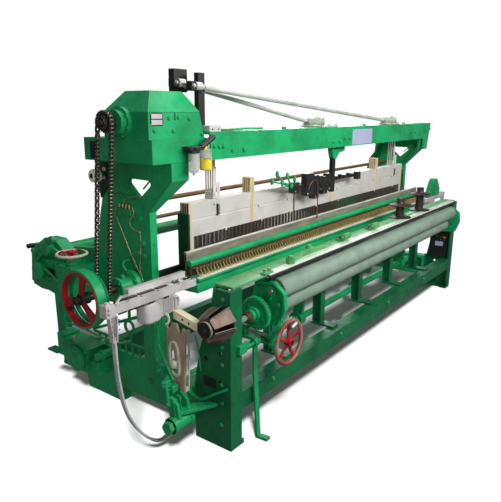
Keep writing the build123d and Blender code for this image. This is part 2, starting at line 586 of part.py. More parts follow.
with BuildPart() as sprockets:
    add(make_sprocket(UPPER_SPROCKET_Y, UPPER_SPROCKET_Z, LEAN_ANGLE,
                      CHAIN_PLANE - 20, HEAD_LEFT - 52, 24))
    add(make_sprocket(SHAFT_Y, SHAFT_Z, LEAN_ANGLE + 180 / SPROCKET_TEETH,
                      CHAIN_PLANE - 20, CHAIN_PLANE + 20, SHAFT_RADIUS + 14))
    rod_x(inward(CHAIN_PLANE - 20), inward(CHAIN_PLANE + 20), SHAFT_Y, SHAFT_Z, SHAFT_RADIUS, Mode.SUBTRACT)
write_part(sprockets.part, "sprockets")


def chain_pin(number):
    """Place of one chain pin as (y, z), counted round the loop from the lower sprocket's rear side."""
    straight = CHAIN_LINKS / 2 - SPROCKET_TEETH / 2
    up = ((UPPER_SPROCKET_Y - SHAFT_Y) / CHAIN_SPAN, (UPPER_SPROCKET_Z - SHAFT_Z) / CHAIN_SPAN)
    rear = (up[1], -up[0])
    if number < straight:
        along, across = number * CHAIN_PITCH, SPROCKET_RADIUS
    elif number < straight + SPROCKET_TEETH / 2:
        turn = (number - straight) * 2 * math.pi / SPROCKET_TEETH
        along = CHAIN_SPAN + SPROCKET_RADIUS * math.sin(turn)
        across = SPROCKET_RADIUS * math.cos(turn)
    elif number < 2 * straight + SPROCKET_TEETH / 2:
        along = CHAIN_SPAN - (number - straight - SPROCKET_TEETH / 2) * CHAIN_PITCH
        across = -SPROCKET_RADIUS
    else:
        turn = (number - 2 * straight - SPROCKET_TEETH / 2) * 2 * math.pi / SPROCKET_TEETH
        along = -SPROCKET_RADIUS * math.sin(turn)
        across = -SPROCKET_RADIUS * math.cos(turn)
    return (SHAFT_Y + up[0] * along + rear[0] * across, SHAFT_Z + up[1] * along + rear[1] * across)


CHAIN_PINS = [chain_pin(number) for number in range(CHAIN_LINKS)]
with BuildPart() as drive_chain:
    with BuildSketch(Plane.YZ.offset(inward(CHAIN_PLANE - CHAIN_WIDTH / 2))) as link_plates:
        for number in range(CHAIN_LINKS):
            first = CHAIN_PINS[number - 1]
            second = CHAIN_PINS[number]
            middle = ((behind(first[0]) + behind(second[0])) / 2, (first[1] + second[1]) / 2)
            lean = math.degrees(math.atan2(second[1] - first[1], second[0] - first[0]))
            with Locations(Location(middle, lean)):
                SlotCenterToCenter(CHAIN_PITCH, 2 * LINK_HALF)
    extrude(link_plates.sketch, amount=LINK_PLATE)
    far_plates = link_plates.sketch.moved(Location((CHAIN_WIDTH - LINK_PLATE, 0, 0)))
    extrude(far_plates, amount=LINK_PLATE)
    with BuildSketch(Plane.YZ.offset(inward(CHAIN_PLANE - CHAIN_WIDTH / 2 + LINK_PLATE))) as rollers:
        with Locations(*[(behind(y), z) for y, z in CHAIN_PINS]):
            Circle(CHAIN_ROLLER)
    extrude(rollers.sketch, amount=CHAIN_WIDTH - 2 * LINK_PLATE)
write_part(drive_chain.part, "drive_chain")

with BuildPart() as main_shaft:
    rod_x(inward(FLYWHEEL_X - 22), FRAME_HALF + 20, SHAFT_Y, SHAFT_Z, SHAFT_RADIUS)
    rod_x(inward(-150), inward(0), SHAFT_Y, SHAFT_Z, SHAFT_RADIUS + 34)
    rod_x(inward(-60), inward(-26), SHAFT_Y, SHAFT_Z, SHAFT_RADIUS + 58)
    rod_x(inward(-150), inward(-132), SHAFT_Y, SHAFT_Z, SHAFT_RADIUS + 46)
write_part(main_shaft.part, "main_shaft")

with BuildPart() as flywheel:
    with BuildSketch(Plane.YZ.offset(inward(FLYWHEEL_X))):
        with Locations((behind(SHAFT_Y), SHAFT_Z)):
            Circle(FLYWHEEL_RADIUS)
            Circle(FLYWHEEL_RADIUS - 26, mode=Mode.SUBTRACT)
    extrude(amount=FLYWHEEL_WIDTH)
    with BuildSketch(Plane.YZ.offset(inward(FLYWHEEL_X + FLYWHEEL_WIDTH))):
        with Locations((behind(SHAFT_Y), SHAFT_Z)):
            Circle(FLYWHEEL_RADIUS - 14)
            Circle(FLYWHEEL_RADIUS - 36, mode=Mode.SUBTRACT)
    extrude(amount=24)
    with BuildSketch(Plane.YZ.offset(inward(FLYWHEEL_X + 14))):
        with Locations((behind(SHAFT_Y), SHAFT_Z)):
            with PolarLocations(0, 3, start_angle=180):
                Polygon((0, -18), (FLYWHEEL_RADIUS - 20, -30), (FLYWHEEL_RADIUS - 20, 30), (0, 18), align=None)
    extrude(amount=16)
    rod_x(inward(FLYWHEEL_X - 8), inward(FLYWHEEL_X + FLYWHEEL_WIDTH), SHAFT_Y, SHAFT_Z, SHAFT_RADIUS + 20)
    rod_x(inward(FLYWHEEL_X - 8), inward(FLYWHEEL_X + FLYWHEEL_WIDTH), SHAFT_Y, SHAFT_Z,
          SHAFT_RADIUS + SHAFT_CLEARANCE, Mode.SUBTRACT)
write_part(flywheel.part, "flywheel")

# Gear case low on the drive side, with a round cover, a stub shaft and a lug
with BuildPart() as gear_case:
    block(inward(-130), inward(0), 1004, 1250, 193, 345)
    side_plate([(1004, 345), (1250, 345), (1250, 362), (1060, 372)], inward(-130), inward(0))
    block(inward(-112), inward(0), 1250, 1330, 230, 375)
    rod_x(inward(-142), inward(-130), 1112, 270, 78)
    rod_x(inward(-130), inward(0), 919, 326, 24)
    block(inward(-118), inward(0), 930, 1004, 193, 280)
    block(inward(-126), inward(-70), 1330, 1430, 232, 246)
write_part(gear_case.part, "gear_case")

# Let-off: housing on the rear arm, with an upright spindle and its handwheel
LET_OFF_X = -118.0
LET_OFF_Y = 1100.0
LET_OFF_Z = 930.0
SPINDLE_RADIUS = 12.0
HOUSING_OUTLINE = [
    (1180, 650), (1370, 632), (1500, 628), (1590, 645), (1565, 885), (1500, 925), (1420, 975), (1310, 975),
    (1240, 925), (1180, 860),
]
with BuildPart() as let_off_housing:
    block(inward(LET_OFF_X - 55), inward(0), LET_OFF_Y - 60, LET_OFF_Y + 80, 700, 860)
    rod_z(inward(LET_OFF_X), LET_OFF_Y, 860, 885, 34)
    side_plate(HOUSING_OUTLINE, inward(-84), inward(0), 10)
    side_plate([(1220, 690), (1510, 690), (1510, 850), (1220, 850)], inward(-108), inward(-84), 14)
    rod_x(inward(-126), inward(-84), 1362, 922, 44)
    rod_x(inward(-136), inward(-108), 1440, 770, 56)
    rod_z(inward(LET_OFF_X), LET_OFF_Y, 760, 885, SPINDLE_RADIUS + SHAFT_CLEARANCE, Mode.SUBTRACT)
write_part(let_off_housing.part, "let_off_housing")

with BuildPart() as let_off_handwheel:
    with Locations((inward(LET_OFF_X), behind(LET_OFF_Y), LET_OFF_Z)):
        add(make_handwheel(94, 8, 3, 30))
    rod_z(inward(LET_OFF_X), LET_OFF_Y, 770, LET_OFF_Z, SPINDLE_RADIUS)
write_part(let_off_handwheel.part, "let_off_handwheel")

# Back rest roller between the rear arms, and the bars across the loom behind the heald frames
with BuildPart() as back_rest:
    rod_x(inward(WEB_THICKNESS), -inward(WEB_THICKNESS), 1650, 803, 45)
write_part(back_rest.part, "back_rest")

with BuildPart() as warp_bars:
    for bar_y, bar_z, bar_radius in ((760, 1238, 14), (900, 1098, 12), (850, 1026, 17)):
        rod_x(inward(WEB_THICKNESS), -inward(WEB_THICKNESS), bar_y, bar_z, bar_radius)
write_part(warp_bars.part, "warp_bars")

# Rapier side: an open cast tray, its gear case, tape guide, slotted lever, linkage, arm and band wheel
TRAY_RIBS = (-330.0, -215.0, -90.0, 30.0)
with BuildPart() as rapier_tray:
    block(inward(TRAY_START), inward(TRAY_END), TRAY_FRONT, TRAY_FRONT + 16, TRAY_FLOOR, TRAY_TOP)
    block(inward(TRAY_START + 16), inward(TRAY_END), TRAY_FRONT + 16, TRAY_FRONT + 44, TRAY_FLOOR, TRAY_FLOOR + 10)
    block(inward(TRAY_START + 150), inward(TRAY_END), TRAY_BACK - 26, TRAY_BACK, TRAY_FLOOR + 10, TRAY_TOP + 26)
    for rib_x in TRAY_RIBS:
        block(inward(rib_x), inward(rib_x + 34), TRAY_FRONT + 10, TRAY_BACK - 10, TRAY_FLOOR, TRAY_TOP - 8)
    top_plate([(inward(TRAY_START), TRAY_FRONT + 4), (inward(TRAY_START + 30), TRAY_FRONT + 4),
               (inward(TRAY_START + 180), TRAY_BACK - 24), (inward(TRAY_START + 180), TRAY_BACK),
               (inward(TRAY_START + 150), TRAY_BACK)], TRAY_FLOOR + 20, TRAY_TOP)
    block(inward(TRAY_START - 50), inward(TRAY_START), TRAY_FRONT - 2, TRAY_FRONT + 46, TRAY_FLOOR - 10, TRAY_TOP + 12)
    block(inward(NECK_WIDTH - 40), inward(TRAY_END), TRAY_BACK - 60, NECK_FRONT - RAIL_CLEARANCE,
          TRAY_FLOOR - 20, TRAY_FLOOR)
write_part(rapier_tray.part, "rapier_tray")

CASE_START = -275.0
CASE_STEP = -165.0
CASE_END = -70.0
CASE_FLOOR = 721.0
with BuildPart() as rapier_case:
    with BuildSketch(Plane.XY.offset(CASE_FLOOR)) as case_plan:
        with Locations((inward((CASE_START + CASE_STEP) / 2), behind((TRAY_FRONT + TRAY_BACK) / 2 + 3))):
            Rectangle(CASE_STEP - CASE_START, TRAY_BACK - TRAY_FRONT - 14)
        fillet(case_plan.vertices(), 34)
    extrude(case_plan.sketch, amount=TRAY_FLOOR - CASE_FLOOR - 14)
    front_plate([(inward(CASE_STEP - 40), CASE_FLOOR + 12), (inward(CASE_END), CASE_FLOOR + 26),
                 (inward(CASE_END), TRAY_FLOOR), (inward(CASE_STEP - 40), TRAY_FLOOR)],
                TRAY_FRONT + 12, TRAY_BACK - 14)
    block(inward(CASE_START + 30), inward(CASE_START + 46), TRAY_FRONT + 14, TRAY_FRONT + 34, CASE_FLOOR + 40, TRAY_FLOOR)
    block(inward(CASE_END - 14), inward(CASE_END + 8), TRAY_FRONT - 4, TRAY_FRONT + 12, CASE_FLOOR + 35, TRAY_FLOOR - 14)
write_part(rapier_case.part, "rapier_case")

TAPE_Y = 290.0
TAPE_PATH = [(TRAY_START - 10, 740), (TRAY_START, 524), (TRAY_START + 44, 318), (TRAY_START + 132, 165),
             (TRAY_START + 246, 66), (TRAY_START + 334, 74)]
with BuildPart() as tape_guide:
    front_plate([(inward(TRAY_START - 34), TRAY_FLOOR - 10), (inward(TRAY_START + 14), TRAY_FLOOR - 10),
                 (inward(TRAY_START + 8), 710), (inward(TRAY_START - 22), 710)], TAPE_Y + 20, TAPE_Y + 26)
    for flange_x in (TRAY_START - 34, TRAY_START + 8):
        front_plate([(inward(flange_x), TRAY_FLOOR - 10), (inward(flange_x + 6), TRAY_FLOOR - 10),
                     (inward((flange_x + TRAY_START) / 2 + 2), 710), (inward((flange_x + TRAY_START) / 2 - 4), 710)],
                    TAPE_Y, TAPE_Y + 26)
    with BuildLine() as tape_line:
        Spline([(inward(x), behind(TAPE_Y + 12), z) for x, z in TAPE_PATH], tangents=[(0, 0, -1), (1, 0, 0.3)])
    with BuildSketch(Plane(origin=tape_line.line @ 0, x_dir=(0, 1, 0), z_dir=tape_line.line % 0)):
        Rectangle(24, 7)
    sweep()
write_part(tape_guide.part, "tape_guide")

LEVER_X = -110.0
LEVER_FRONT = 202.0
LEVER_OUTLINE = [
    (LEVER_FRONT, 668), (222, 676), (246, 640), (268, 690), (300, 690), (322, 650), (340, 668), (344, 425),
    (326, 385), (250, 340), (232, 312), (LEVER_FRONT, 318),
]
with BuildPart() as slotted_lever:
    side_plate(LEVER_OUTLINE, inward(LEVER_X), inward(LEVER_X + 14))
    side_plate([(LEVER_FRONT, 664), (LEVER_FRONT + 14, 664), (LEVER_FRONT + 14, 318), (LEVER_FRONT, 318)],
               inward(LEVER_X), inward(LEVER_X + 42))
    for window_floor, window_roof in ((348, 452), (478, 590)):
        front_plate([(inward(LEVER_X + 20), window_floor), (inward(LEVER_X + 36), window_floor),
                     (inward(LEVER_X + 36), window_roof), (inward(LEVER_X + 20), window_roof)],
                    LEVER_FRONT, LEVER_FRONT + 14, 4, Mode.SUBTRACT)
    for slot_floor, slot_roof in ((398, 436), (486, 560)):
        side_plate([(270, slot_floor), (292, slot_floor), (300, slot_roof), (282, slot_roof)],
                   inward(LEVER_X), inward(LEVER_X + 14), 7, Mode.SUBTRACT)
    rod_x(inward(LEVER_X - 14), inward(LEVER_X), 285, 460, 20)
write_part(slotted_lever.part, "slotted_lever")

with BuildPart() as linkage_bracket:
    rod_x(inward(-236), inward(-96), 204, 190, 40)
    for lug_x in (-200, -128):
        side_plate([(170, 190), (238, 190), (262, 300), (240, 330), (190, 300)], inward(lug_x), inward(lug_x + 18))
    rod_x(inward(-214), inward(-84), 240, 292, 18)
    top_plate([(inward(-200), 190), (inward(0), 90), (inward(0), 140), (inward(-128), 240)], 236, 254)
    side_plate([(240, 290), (262, 284), (310, 350), (384, 400), (384, 440), (346, 440), (268, 372)],
               inward(-94), inward(-84))
    rod_x(inward(-150), inward(-84), 366, 420, 17)
    side_plate([(348, 440), (366, 440), (332, 738), (316, 738)], inward(-92), inward(-82))
write_part(linkage_bracket.part, "linkage_bracket")

with BuildPart() as rapier_arm:
    side_plate([(TRAY_FRONT + 12, 755), (TRAY_FRONT + 12, 708), (146, 676), (140, 716)], inward(-92), inward(-50))
write_part(rapier_arm.part, "rapier_arm")

# Band wheel: a hub between two discs, with five curved plates round it
BAND_RADIUS = 88.0
BAND_Y = 45.0
BAND_Z = 724.0
BAND_START = -150.0
BAND_END = -3.0
with BuildPart() as band_wheel:
    rod_x(inward(BAND_START), inward(0), BAND_Y, BAND_Z, 36)
    for disc_x in (BAND_START + 4, BAND_END - 12):
        rod_x(inward(disc_x), inward(disc_x + 8), BAND_Y, BAND_Z, BAND_RADIUS - 8)
    with BuildSketch(Plane.YZ.offset(inward(BAND_START))) as plates:
        with Locations((behind(BAND_Y), BAND_Z)):
            Circle(BAND_RADIUS)
            Circle(BAND_RADIUS - 10, mode=Mode.SUBTRACT)
            with PolarLocations(BAND_RADIUS - 5, 5, start_angle=20):
                Rectangle(30, 30, mode=Mode.SUBTRACT)
    extrude(plates.sketch, amount=BAND_END - BAND_START)
write_part(band_wheel.part, "band_wheel")

with BuildPart() as right_rapier_unit:
    mirror(rapier_tray.part, about=Plane.YZ)
    mirror(rapier_case.part, about=Plane.YZ)
    mirror(tape_guide.part, about=Plane.YZ)
write_part(right_rapier_unit.part, "right_rapier_unit")

# Cover over the right rapier gear
COVER_START = FRAME_HALF + 110
COVER_LENGTH = 300.0
COVER_ARCH = 172.0
with BuildPart() as right_rapier_cover:
    with BuildSketch(Plane.XZ.offset(-behind(TRAY_FRONT + 22))) as cover_side:
        with BuildLine():
            Line((COVER_START, TRAY_TOP), (COVER_START, TRAY_TOP + 30))
            Line((COVER_START, TRAY_TOP + 30), (COVER_START + 90, TRAY_TOP + COVER_ARCH - 16))
            ThreePointArc((COVER_START + 90, TRAY_TOP + COVER_ARCH - 16),
                          (COVER_START + 160, TRAY_TOP + COVER_ARCH + 6),
                          (COVER_START + 225, TRAY_TOP + COVER_ARCH - 24))
            Line((COVER_START + 225, TRAY_TOP + COVER_ARCH - 24), (COVER_START + COVER_LENGTH, TRAY_TOP + 60))
            Line((COVER_START + COVER_LENGTH, TRAY_TOP + 60), (COVER_START + COVER_LENGTH, TRAY_TOP))
            Line((COVER_START + COVER_LENGTH, TRAY_TOP), (COVER_START, TRAY_TOP))
        make_face()
    extrude(cover_side.sketch, amount=-52)
write_part(right_rapier_cover.part, "right_rapier_cover")

# Weaving zone: heald frames with their lifting strips, and the guides at their ends
HEALD_RAIL = 98.0
HEALD_STILE = 40.0
STRIP_INSET = 218.0
SPACER_INSET = 633.0
STRIP_RISE = 320.0
SPACER_RISE = 95.0


def make_heald_frame(y):
    """Build one heald frame whose front face is at the given depth."""
    half = -inward(HEALD_START)
    with BuildPart() as heald:
        front_plate([(-half, HEALD_BOTTOM), (half, HEALD_BOTTOM), (half, HEALD_TOP), (-half, HEALD_TOP)],
                    y, y + FRAME_THICKNESS)
        front_plate([(HEALD_STILE - half, HEALD_BOTTOM + HEALD_RAIL), (half - HEALD_STILE, HEALD_BOTTOM + HEALD_RAIL),
                     (half - HEALD_STILE, HEALD_TOP - 2 * HEALD_RAIL),
                     (HEALD_STILE - half, HEALD_TOP - 2 * HEALD_RAIL)],
                    y, y + FRAME_THICKNESS, mode=Mode.SUBTRACT)
        for side in (-1, 1):
            strip_x = side * (half - STRIP_INSET)
            spacer_x = side * (half - SPACER_INSET)
            block(strip_x - 11, strip_x + 11, y + 3, y + 9, HEALD_TOP - 40, HEALD_TOP + STRIP_RISE)
            block(spacer_x - 22, spacer_x + 22, y, y + FRAME_THICKNESS, HEALD_TOP - 20, HEALD_TOP + SPACER_RISE)
    return heald.part


for number in range(FRAME_COUNT):
    write_part(make_heald_frame(HEALD_FIRST_Y + number * FRAME_PITCH), f"heald_frame_{number + 1}")

HEALD_BACK_Y = HEALD_FIRST_Y + (FRAME_COUNT - 1) * FRAME_PITCH + FRAME_THICKNESS
with BuildPart() as left_guide:
    block(inward(HEALD_START - 14), inward(HEALD_START - RAIL_CLEARANCE), HEALD_FIRST_Y - 8, HEALD_BACK_Y + 8,
          HEALD_BOTTOM + 80, HEALD_TOP - 60)
    for arm_z in (HEALD_BOTTOM + 140, HEALD_TOP - 140):
        block(inward(NECK_WIDTH), inward(HEALD_START - 10), NECK_FRONT + 4, HEALD_BACK_Y + 8, arm_z, arm_z + 20)

with BuildPart() as heald_guides:
    add(left_guide.part)
    mirror(left_guide.part, about=Plane.YZ)
write_part(heald_guides.part, "heald_guides")

# Sley: beam with a lip, swords on the rocking shaft, guide teeth, reed and the tube that caps it
SLEY_START = 100.0
SLEY_BOTTOM = SLEY_RACE - SLEY_DEPTH
SLEY_LIP = 22.0
TUBE_RISE = 66.0
TUBE_RADIUS = 19.0
REED_HEIGHT = 110.0
SWORD_PLACES = (-1450.0, -480.0, 480.0, 1450.0)
with BuildPart() as sley:
    side_plate([(SLEY_FRONT, SLEY_RACE), (SLEY_FRONT, SLEY_RACE - SLEY_LIP), (SLEY_FRONT + 24, SLEY_RACE - SLEY_LIP),
                (SLEY_FRONT + 24, SLEY_RACE - 2 * SLEY_LIP), (SLEY_FRONT + 12, SLEY_RACE - 2 * SLEY_LIP),
                (SLEY_FRONT + 12, SLEY_BOTTOM), (SLEY_BACK, SLEY_BOTTOM), (SLEY_BACK, SLEY_RACE)],
               inward(SLEY_START), -inward(SLEY_START))
    rod_x(inward(SLEY_START), -inward(SLEY_START), SLEY_BACK - 32, SLEY_RACE + TUBE_RISE, TUBE_RADIUS)
    block(inward(SLEY_START), -inward(SLEY_START), SLEY_BACK - 44, SLEY_BACK - 20, SLEY_RACE, SLEY_RACE + TUBE_RISE)
write_part(sley.part, "sley")

with BuildPart() as reed:
    block(inward(SLEY_START), -inward(SLEY_START), SLEY_BACK - 12, SLEY_BACK - 3, SLEY_RACE, SLEY_RACE + REED_HEIGHT)
write_part(reed.part, "reed")

with BuildPart() as sley_swords:
    for sword_x in SWORD_PLACES:
        side_plate([(SLEY_FRONT + 40, SLEY_BOTTOM), (SLEY_PIVOT_Y - 40, SLEY_PIVOT_Z),
                    (SLEY_PIVOT_Y + 40, SLEY_PIVOT_Z), (SLEY_BACK - 10, SLEY_BOTTOM)],
                   sword_x - 16, sword_x + 16)
        rod_x(sword_x - 34, sword_x + 34, SLEY_PIVOT_Y, SLEY_PIVOT_Z, SHAFT_ROCK_RADIUS + 24)
        rod_x(sword_x - 34, sword_x + 34, SLEY_PIVOT_Y, SLEY_PIVOT_Z,
              SHAFT_ROCK_RADIUS + SHAFT_CLEARANCE, Mode.SUBTRACT)
write_part(sley_swords.part, "sley_swords")

TOOTH_COUNT = 60
TOOTH_SPACING = 56.0
with BuildPart() as guide_teeth:
    block(inward(SLEY_START + 20), -inward(SLEY_START + 20), SLEY_FRONT + 14, SLEY_FRONT + 30,
          SLEY_RACE, SLEY_RACE + 8)
    with BuildSketch(Plane.XY.offset(SLEY_RACE + 8)) as teeth:
        with Locations((0, behind(SLEY_FRONT + 22))):
            with GridLocations(TOOTH_SPACING, 0, TOOTH_COUNT, 1):
                Rectangle(8, 14)
    extrude(amount=22)
write_part(guide_teeth.part, "guide_teeth")

# Weft selector: an arm hung from the beam, a rail in front of the heald frames, magnets and a feeler
SELECTOR_Y = 396.0
SELECTOR_RAIL_Z = HEAD_TOP - 250
with BuildPart() as weft_selector:
    front_plate([(inward(1700), HEAD_TOP), (inward(1700), HEAD_TOP - 30), (inward(1726), HEAD_TOP - 92),
                 (inward(1772), HEAD_TOP - 92), (inward(1900), HEAD_TOP - 40), (inward(1900), HEAD_TOP)],
                SELECTOR_Y, SELECTOR_Y + 40)
    block(inward(1722), inward(1768), SELECTOR_Y + 4, SELECTOR_Y + 36, HEAD_TOP - 340, HEAD_TOP - 80)
    block(inward(1180), inward(2180), SELECTOR_Y + 12, SELECTOR_Y + 28, SELECTOR_RAIL_Z - 8, SELECTOR_RAIL_Z + 8)
    for magnet_x, magnet_width, magnet_drop in ((1178, 74, 70), (1270, 90, 84), (1380, 56, 66), (1470, 66, 60)):
        block(inward(magnet_x), inward(magnet_x + magnet_width), SELECTOR_Y - 8, SELECTOR_Y + 48,
              SELECTOR_RAIL_Z - magnet_drop, SELECTOR_RAIL_Z + 42)
    block(inward(2140), inward(2200), SELECTOR_Y - 2, SELECTOR_Y + 40, SELECTOR_RAIL_Z - 34, SELECTOR_RAIL_Z + 30)
write_part(weft_selector.part, "weft_selector")

# Air preparation set under the platform: a manifold and three bowls
BOWL_Y = 330.0
MANIFOLD_FLOOR = HEAD_TOP + 56
with BuildPart() as lubricator:
    block(inward(74), inward(262), BOWL_Y - 20, PLATFORM_FRONT, MANIFOLD_FLOOR, MANIFOLD_FLOOR + 26)
    rod_z(inward(112), BOWL_Y, MANIFOLD_FLOOR - 112, MANIFOLD_FLOOR, 28)
    rod_z(inward(164), BOWL_Y, MANIFOLD_FLOOR - 104, MANIFOLD_FLOOR, 20)
    rod_z(inward(221), BOWL_Y - 10, MANIFOLD_FLOOR - 102, MANIFOLD_FLOOR, 30)
write_part(lubricator.part, "lubricator")

# Two flanged spools standing on the table
SPOOL_PLACES = ((2330.0, 88.0, 160.0), (2770.0, 88.0, 200.0))
SPOOL_FLANGE = 92.0
with BuildPart() as spools:
    for spool_x, spool_y, spool_height in SPOOL_PLACES:
        rod_z(inward(spool_x), spool_y, TABLE_TOP, TABLE_TOP + 8, SPOOL_FLANGE)
        rod_z(inward(spool_x), spool_y, TABLE_TOP, TABLE_TOP + spool_height, 34)
        rod_z(inward(spool_x), spool_y, TABLE_TOP + spool_height - 60, TABLE_TOP + spool_height - 50, SPOOL_FLANGE)
write_part(spools.part, "spools")
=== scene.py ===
"""Looks of a shuttleless rapier loom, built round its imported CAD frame.

All shapes are worked out in loom coordinates, in metres: x runs inward from the
left side frame's outer face, y runs back from the front face of the stands, and z
is the height over the floor. Each finished piece is moved once into the CAD frame.
"""

import logging
import math
from collections.abc import Sequence
from dataclasses import dataclass, field
from enum import Enum

import bmesh
import bpy
import numpy as np
from mathutils import Matrix
from numpy.typing import NDArray


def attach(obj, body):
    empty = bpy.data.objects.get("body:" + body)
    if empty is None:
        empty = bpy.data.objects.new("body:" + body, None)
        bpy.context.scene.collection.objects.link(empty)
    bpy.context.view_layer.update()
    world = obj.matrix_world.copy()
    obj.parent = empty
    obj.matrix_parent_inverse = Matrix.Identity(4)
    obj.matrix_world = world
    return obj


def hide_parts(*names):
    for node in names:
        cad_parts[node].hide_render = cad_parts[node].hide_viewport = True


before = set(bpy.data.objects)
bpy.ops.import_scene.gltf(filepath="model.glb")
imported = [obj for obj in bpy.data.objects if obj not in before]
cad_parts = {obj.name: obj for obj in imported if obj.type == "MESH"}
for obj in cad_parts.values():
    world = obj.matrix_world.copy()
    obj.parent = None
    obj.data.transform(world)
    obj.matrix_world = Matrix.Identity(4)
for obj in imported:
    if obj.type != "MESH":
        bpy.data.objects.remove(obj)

LOG = logging.getLogger("loom")

Array = NDArray[np.float64]
Rows = Array | Sequence[Sequence[float]]
Shape = tuple[Array, list[Array]]
Colour = tuple[float, float, float]
Point = tuple[float, float, float]

LOOM_WIDTH = 3.586
FRONT = 0.794
ORIGIN = np.array((-LOOM_WIDTH / 2, -FRONT, 0.0))
# A shape that copies() repeats is made at this place.
HERE: Point = (0.0, 0.0, 0.0)
SHARP_ANGLE = 32
WELD_DISTANCE = 1e-6


class Along(Enum):
    """Which way a bar, wheel or plate runs: the two axes across it, then its own."""

    X = (1, 2, 0)
    Y = (0, 2, 1)
    Z = (0, 1, 2)


# Shapes: whole arrays of points and faces


def quads(rows: int, columns: int) -> Array:
    """Number the four-sided faces of a grid whose columns close into a ring.

    Args:
        rows: rings of points.
        columns: points in each ring.

    Returns:
        One row of four point numbers a face.
    """
    row, column = np.meshgrid(np.arange(rows - 1), np.arange(columns), indexing="ij")
    after = (column + 1) % columns
    corners = (
        row * columns + column, row * columns + after, (row + 1) * columns + after, (row + 1) * columns + column
    )
    return np.stack(corners, axis=-1).reshape(-1, 4)


def skin(rings: Array) -> Shape:
    """Cover rings of points with faces and close both ends.

    Args:
        rings: points as (rings, points in a ring, 3).

    Returns:
        The closed shape.
    """
    count, around = rings.shape[:2]
    ends = np.arange(around)
    return rings.reshape(-1, 3), [quads(count, around), ends[None, ::-1], (count - 1) * around + ends[None]]


def closed(rings: Array) -> Shape:
    """Cover rings of points with faces and join the last ring to the first."""
    count, around = rings.shape[:2]
    return rings.reshape(-1, 3), [quads(count + 1, around) % (count * around)]


def stacked(lines: Sequence[Array], heights: Sequence[float]) -> Array:
    """Lift plane outlines of equally many points to their heights, one ring each."""
    return np.stack([np.column_stack((line, np.full(len(line), height))) for line, height in zip(lines, heights)])


def laid(local: Array, along: Along) -> Array:
    """Turn local points, whose third number runs along a bar, to loom axes.

    Args:
        local: points as (..., 3).
        along: the bar's axis.

    Returns:
        The same points in loom axes.
    """
    points = np.empty_like(local)
    points[..., list(along.value)] = local
    return points


def joined(*shapes: Shape) -> Shape:
    """Put several shapes together as one.

    Args:
        shapes: the shapes, in any number.

    Returns:
        One shape with all their points and faces.
    """
    points: list[Array] = []
    faces: list[Array] = []
    count = 0
    for shape_points, shape_faces in shapes:
        points.append(shape_points)
        faces += [numbers + count for numbers in shape_faces]
        count += len(shape_points)
    return np.concatenate(points), faces


def repeated(faces: list[Array], count: int, length: int) -> list[Array]:
    """Number the faces of so many copies of a shape with so many points."""
    starts = np.arange(count)[:, None, None] * length
    return [(numbers[None] + starts).reshape(-1, numbers.shape[1]) for numbers in faces]


def copies(shape: Shape, places: Rows) -> Shape:
    """Repeat a shape at each place, by adding the place to all its points.

    Args:
        shape: the shape to repeat.
        places: one (x, y, z) shift a copy.

    Returns:
        All copies as one shape.
    """
    points, faces = shape
    shifts = np.asarray(places, float).reshape(-1, 3)
    return (shifts[:, None] + points[None]).reshape(-1, 3), repeated(faces, len(shifts), len(points))


def turned(shape: Shape, degrees: float, about: Point, along: Along) -> Shape:
    """Turn a shape round a line, by the plane rotation of its two axes across that line.

    Args:
        shape: the shape to turn.
        degrees: how far.
        about: a point on the line.
        along: the line's axis.

    Returns:
        The turned shape.
    """
    points = shape[0] - np.array(about)
    first, second = along.value[:2]
    angle = math.radians(degrees)
    turned_points = points.copy()
    turned_points[:, first] = points[:, first] * math.cos(angle) - points[:, second] * math.sin(angle)
    turned_points[:, second] = points[:, first] * math.sin(angle) + points[:, second] * math.cos(angle)
    return turned_points + np.array(about), shape[1]


def both_ends(shape: Shape) -> tuple[Shape, Shape]:
    """A shape, and its mirror image at the loom's right end.

    Args:
        shape: the shape at the loom's left end.

    Returns:
        The shape and its mirror image.
    """
    points = shape[0].copy()
    points[:, 0] = LOOM_WIDTH - points[:, 0]
    return shape, (points, shape[1])


def rounded(outline: Rows, radius: float, steps: int = 3) -> Array:
    """Round the corners of a closed outline.

    Each corner becomes a quadratic Bezier arc from a point on the edge before it
    to a point on the edge after it, with the corner as the middle control point.
    No arc takes more than 0.45 of an edge.

    Args:
        outline: (points, 2) corners in order.
        radius: distance from a corner to each end of its arc.
        steps: spans in an arc.

    Returns:
        The rounded outline.
    """
    corners = np.asarray(outline, float)
    before, after = np.roll(corners, 1, 0) - corners, np.roll(corners, -1, 0) - corners
    reach_before = np.linalg.norm(before, axis=1, keepdims=True)
    reach_after = np.linalg.norm(after, axis=1, keepdims=True)
    start = corners + before / reach_before * np.minimum(radius, 0.45 * reach_before)
    end = corners + after / reach_after * np.minimum(radius, 0.45 * reach_after)
    t = np.linspace(0, 1, steps + 1)[None, :, None]
    arcs = (1 - t) ** 2 * start[:, None] + 2 * t * (1 - t) * corners[:, None] + t**2 * end[:, None]
    return arcs.reshape(-1, 2)


def shrunk(outline: Rows, amount: float) -> Array:
    """Move each corner of an outline inwards along the mitre of its two edges.

    Args:
        outline: (points, 2) corners in order.
        amount: how far each edge moves in.

    Returns:
        The smaller outline.
    """
    outline = np.asarray(outline, float)
    edges = np.roll(outline, -1, 0) - outline
    edges = edges / np.maximum(np.linalg.norm(edges, axis=1, keepdims=True), 1e-9)
    following = np.roll(outline, -1, 0)
    area = np.sum(outline[:, 0] * following[:, 1] - following[:, 0] * outline[:, 1])
    normals = np.stack((-edges[:, 1], edges[:, 0]), axis=1) * np.sign(area)
    mitre = normals + np.roll(normals, 1, 0)
    scale = np.maximum(1 + np.sum(normals * np.roll(normals, 1, 0), axis=1, keepdims=True), 0.4)
    return outline + mitre / scale * amount


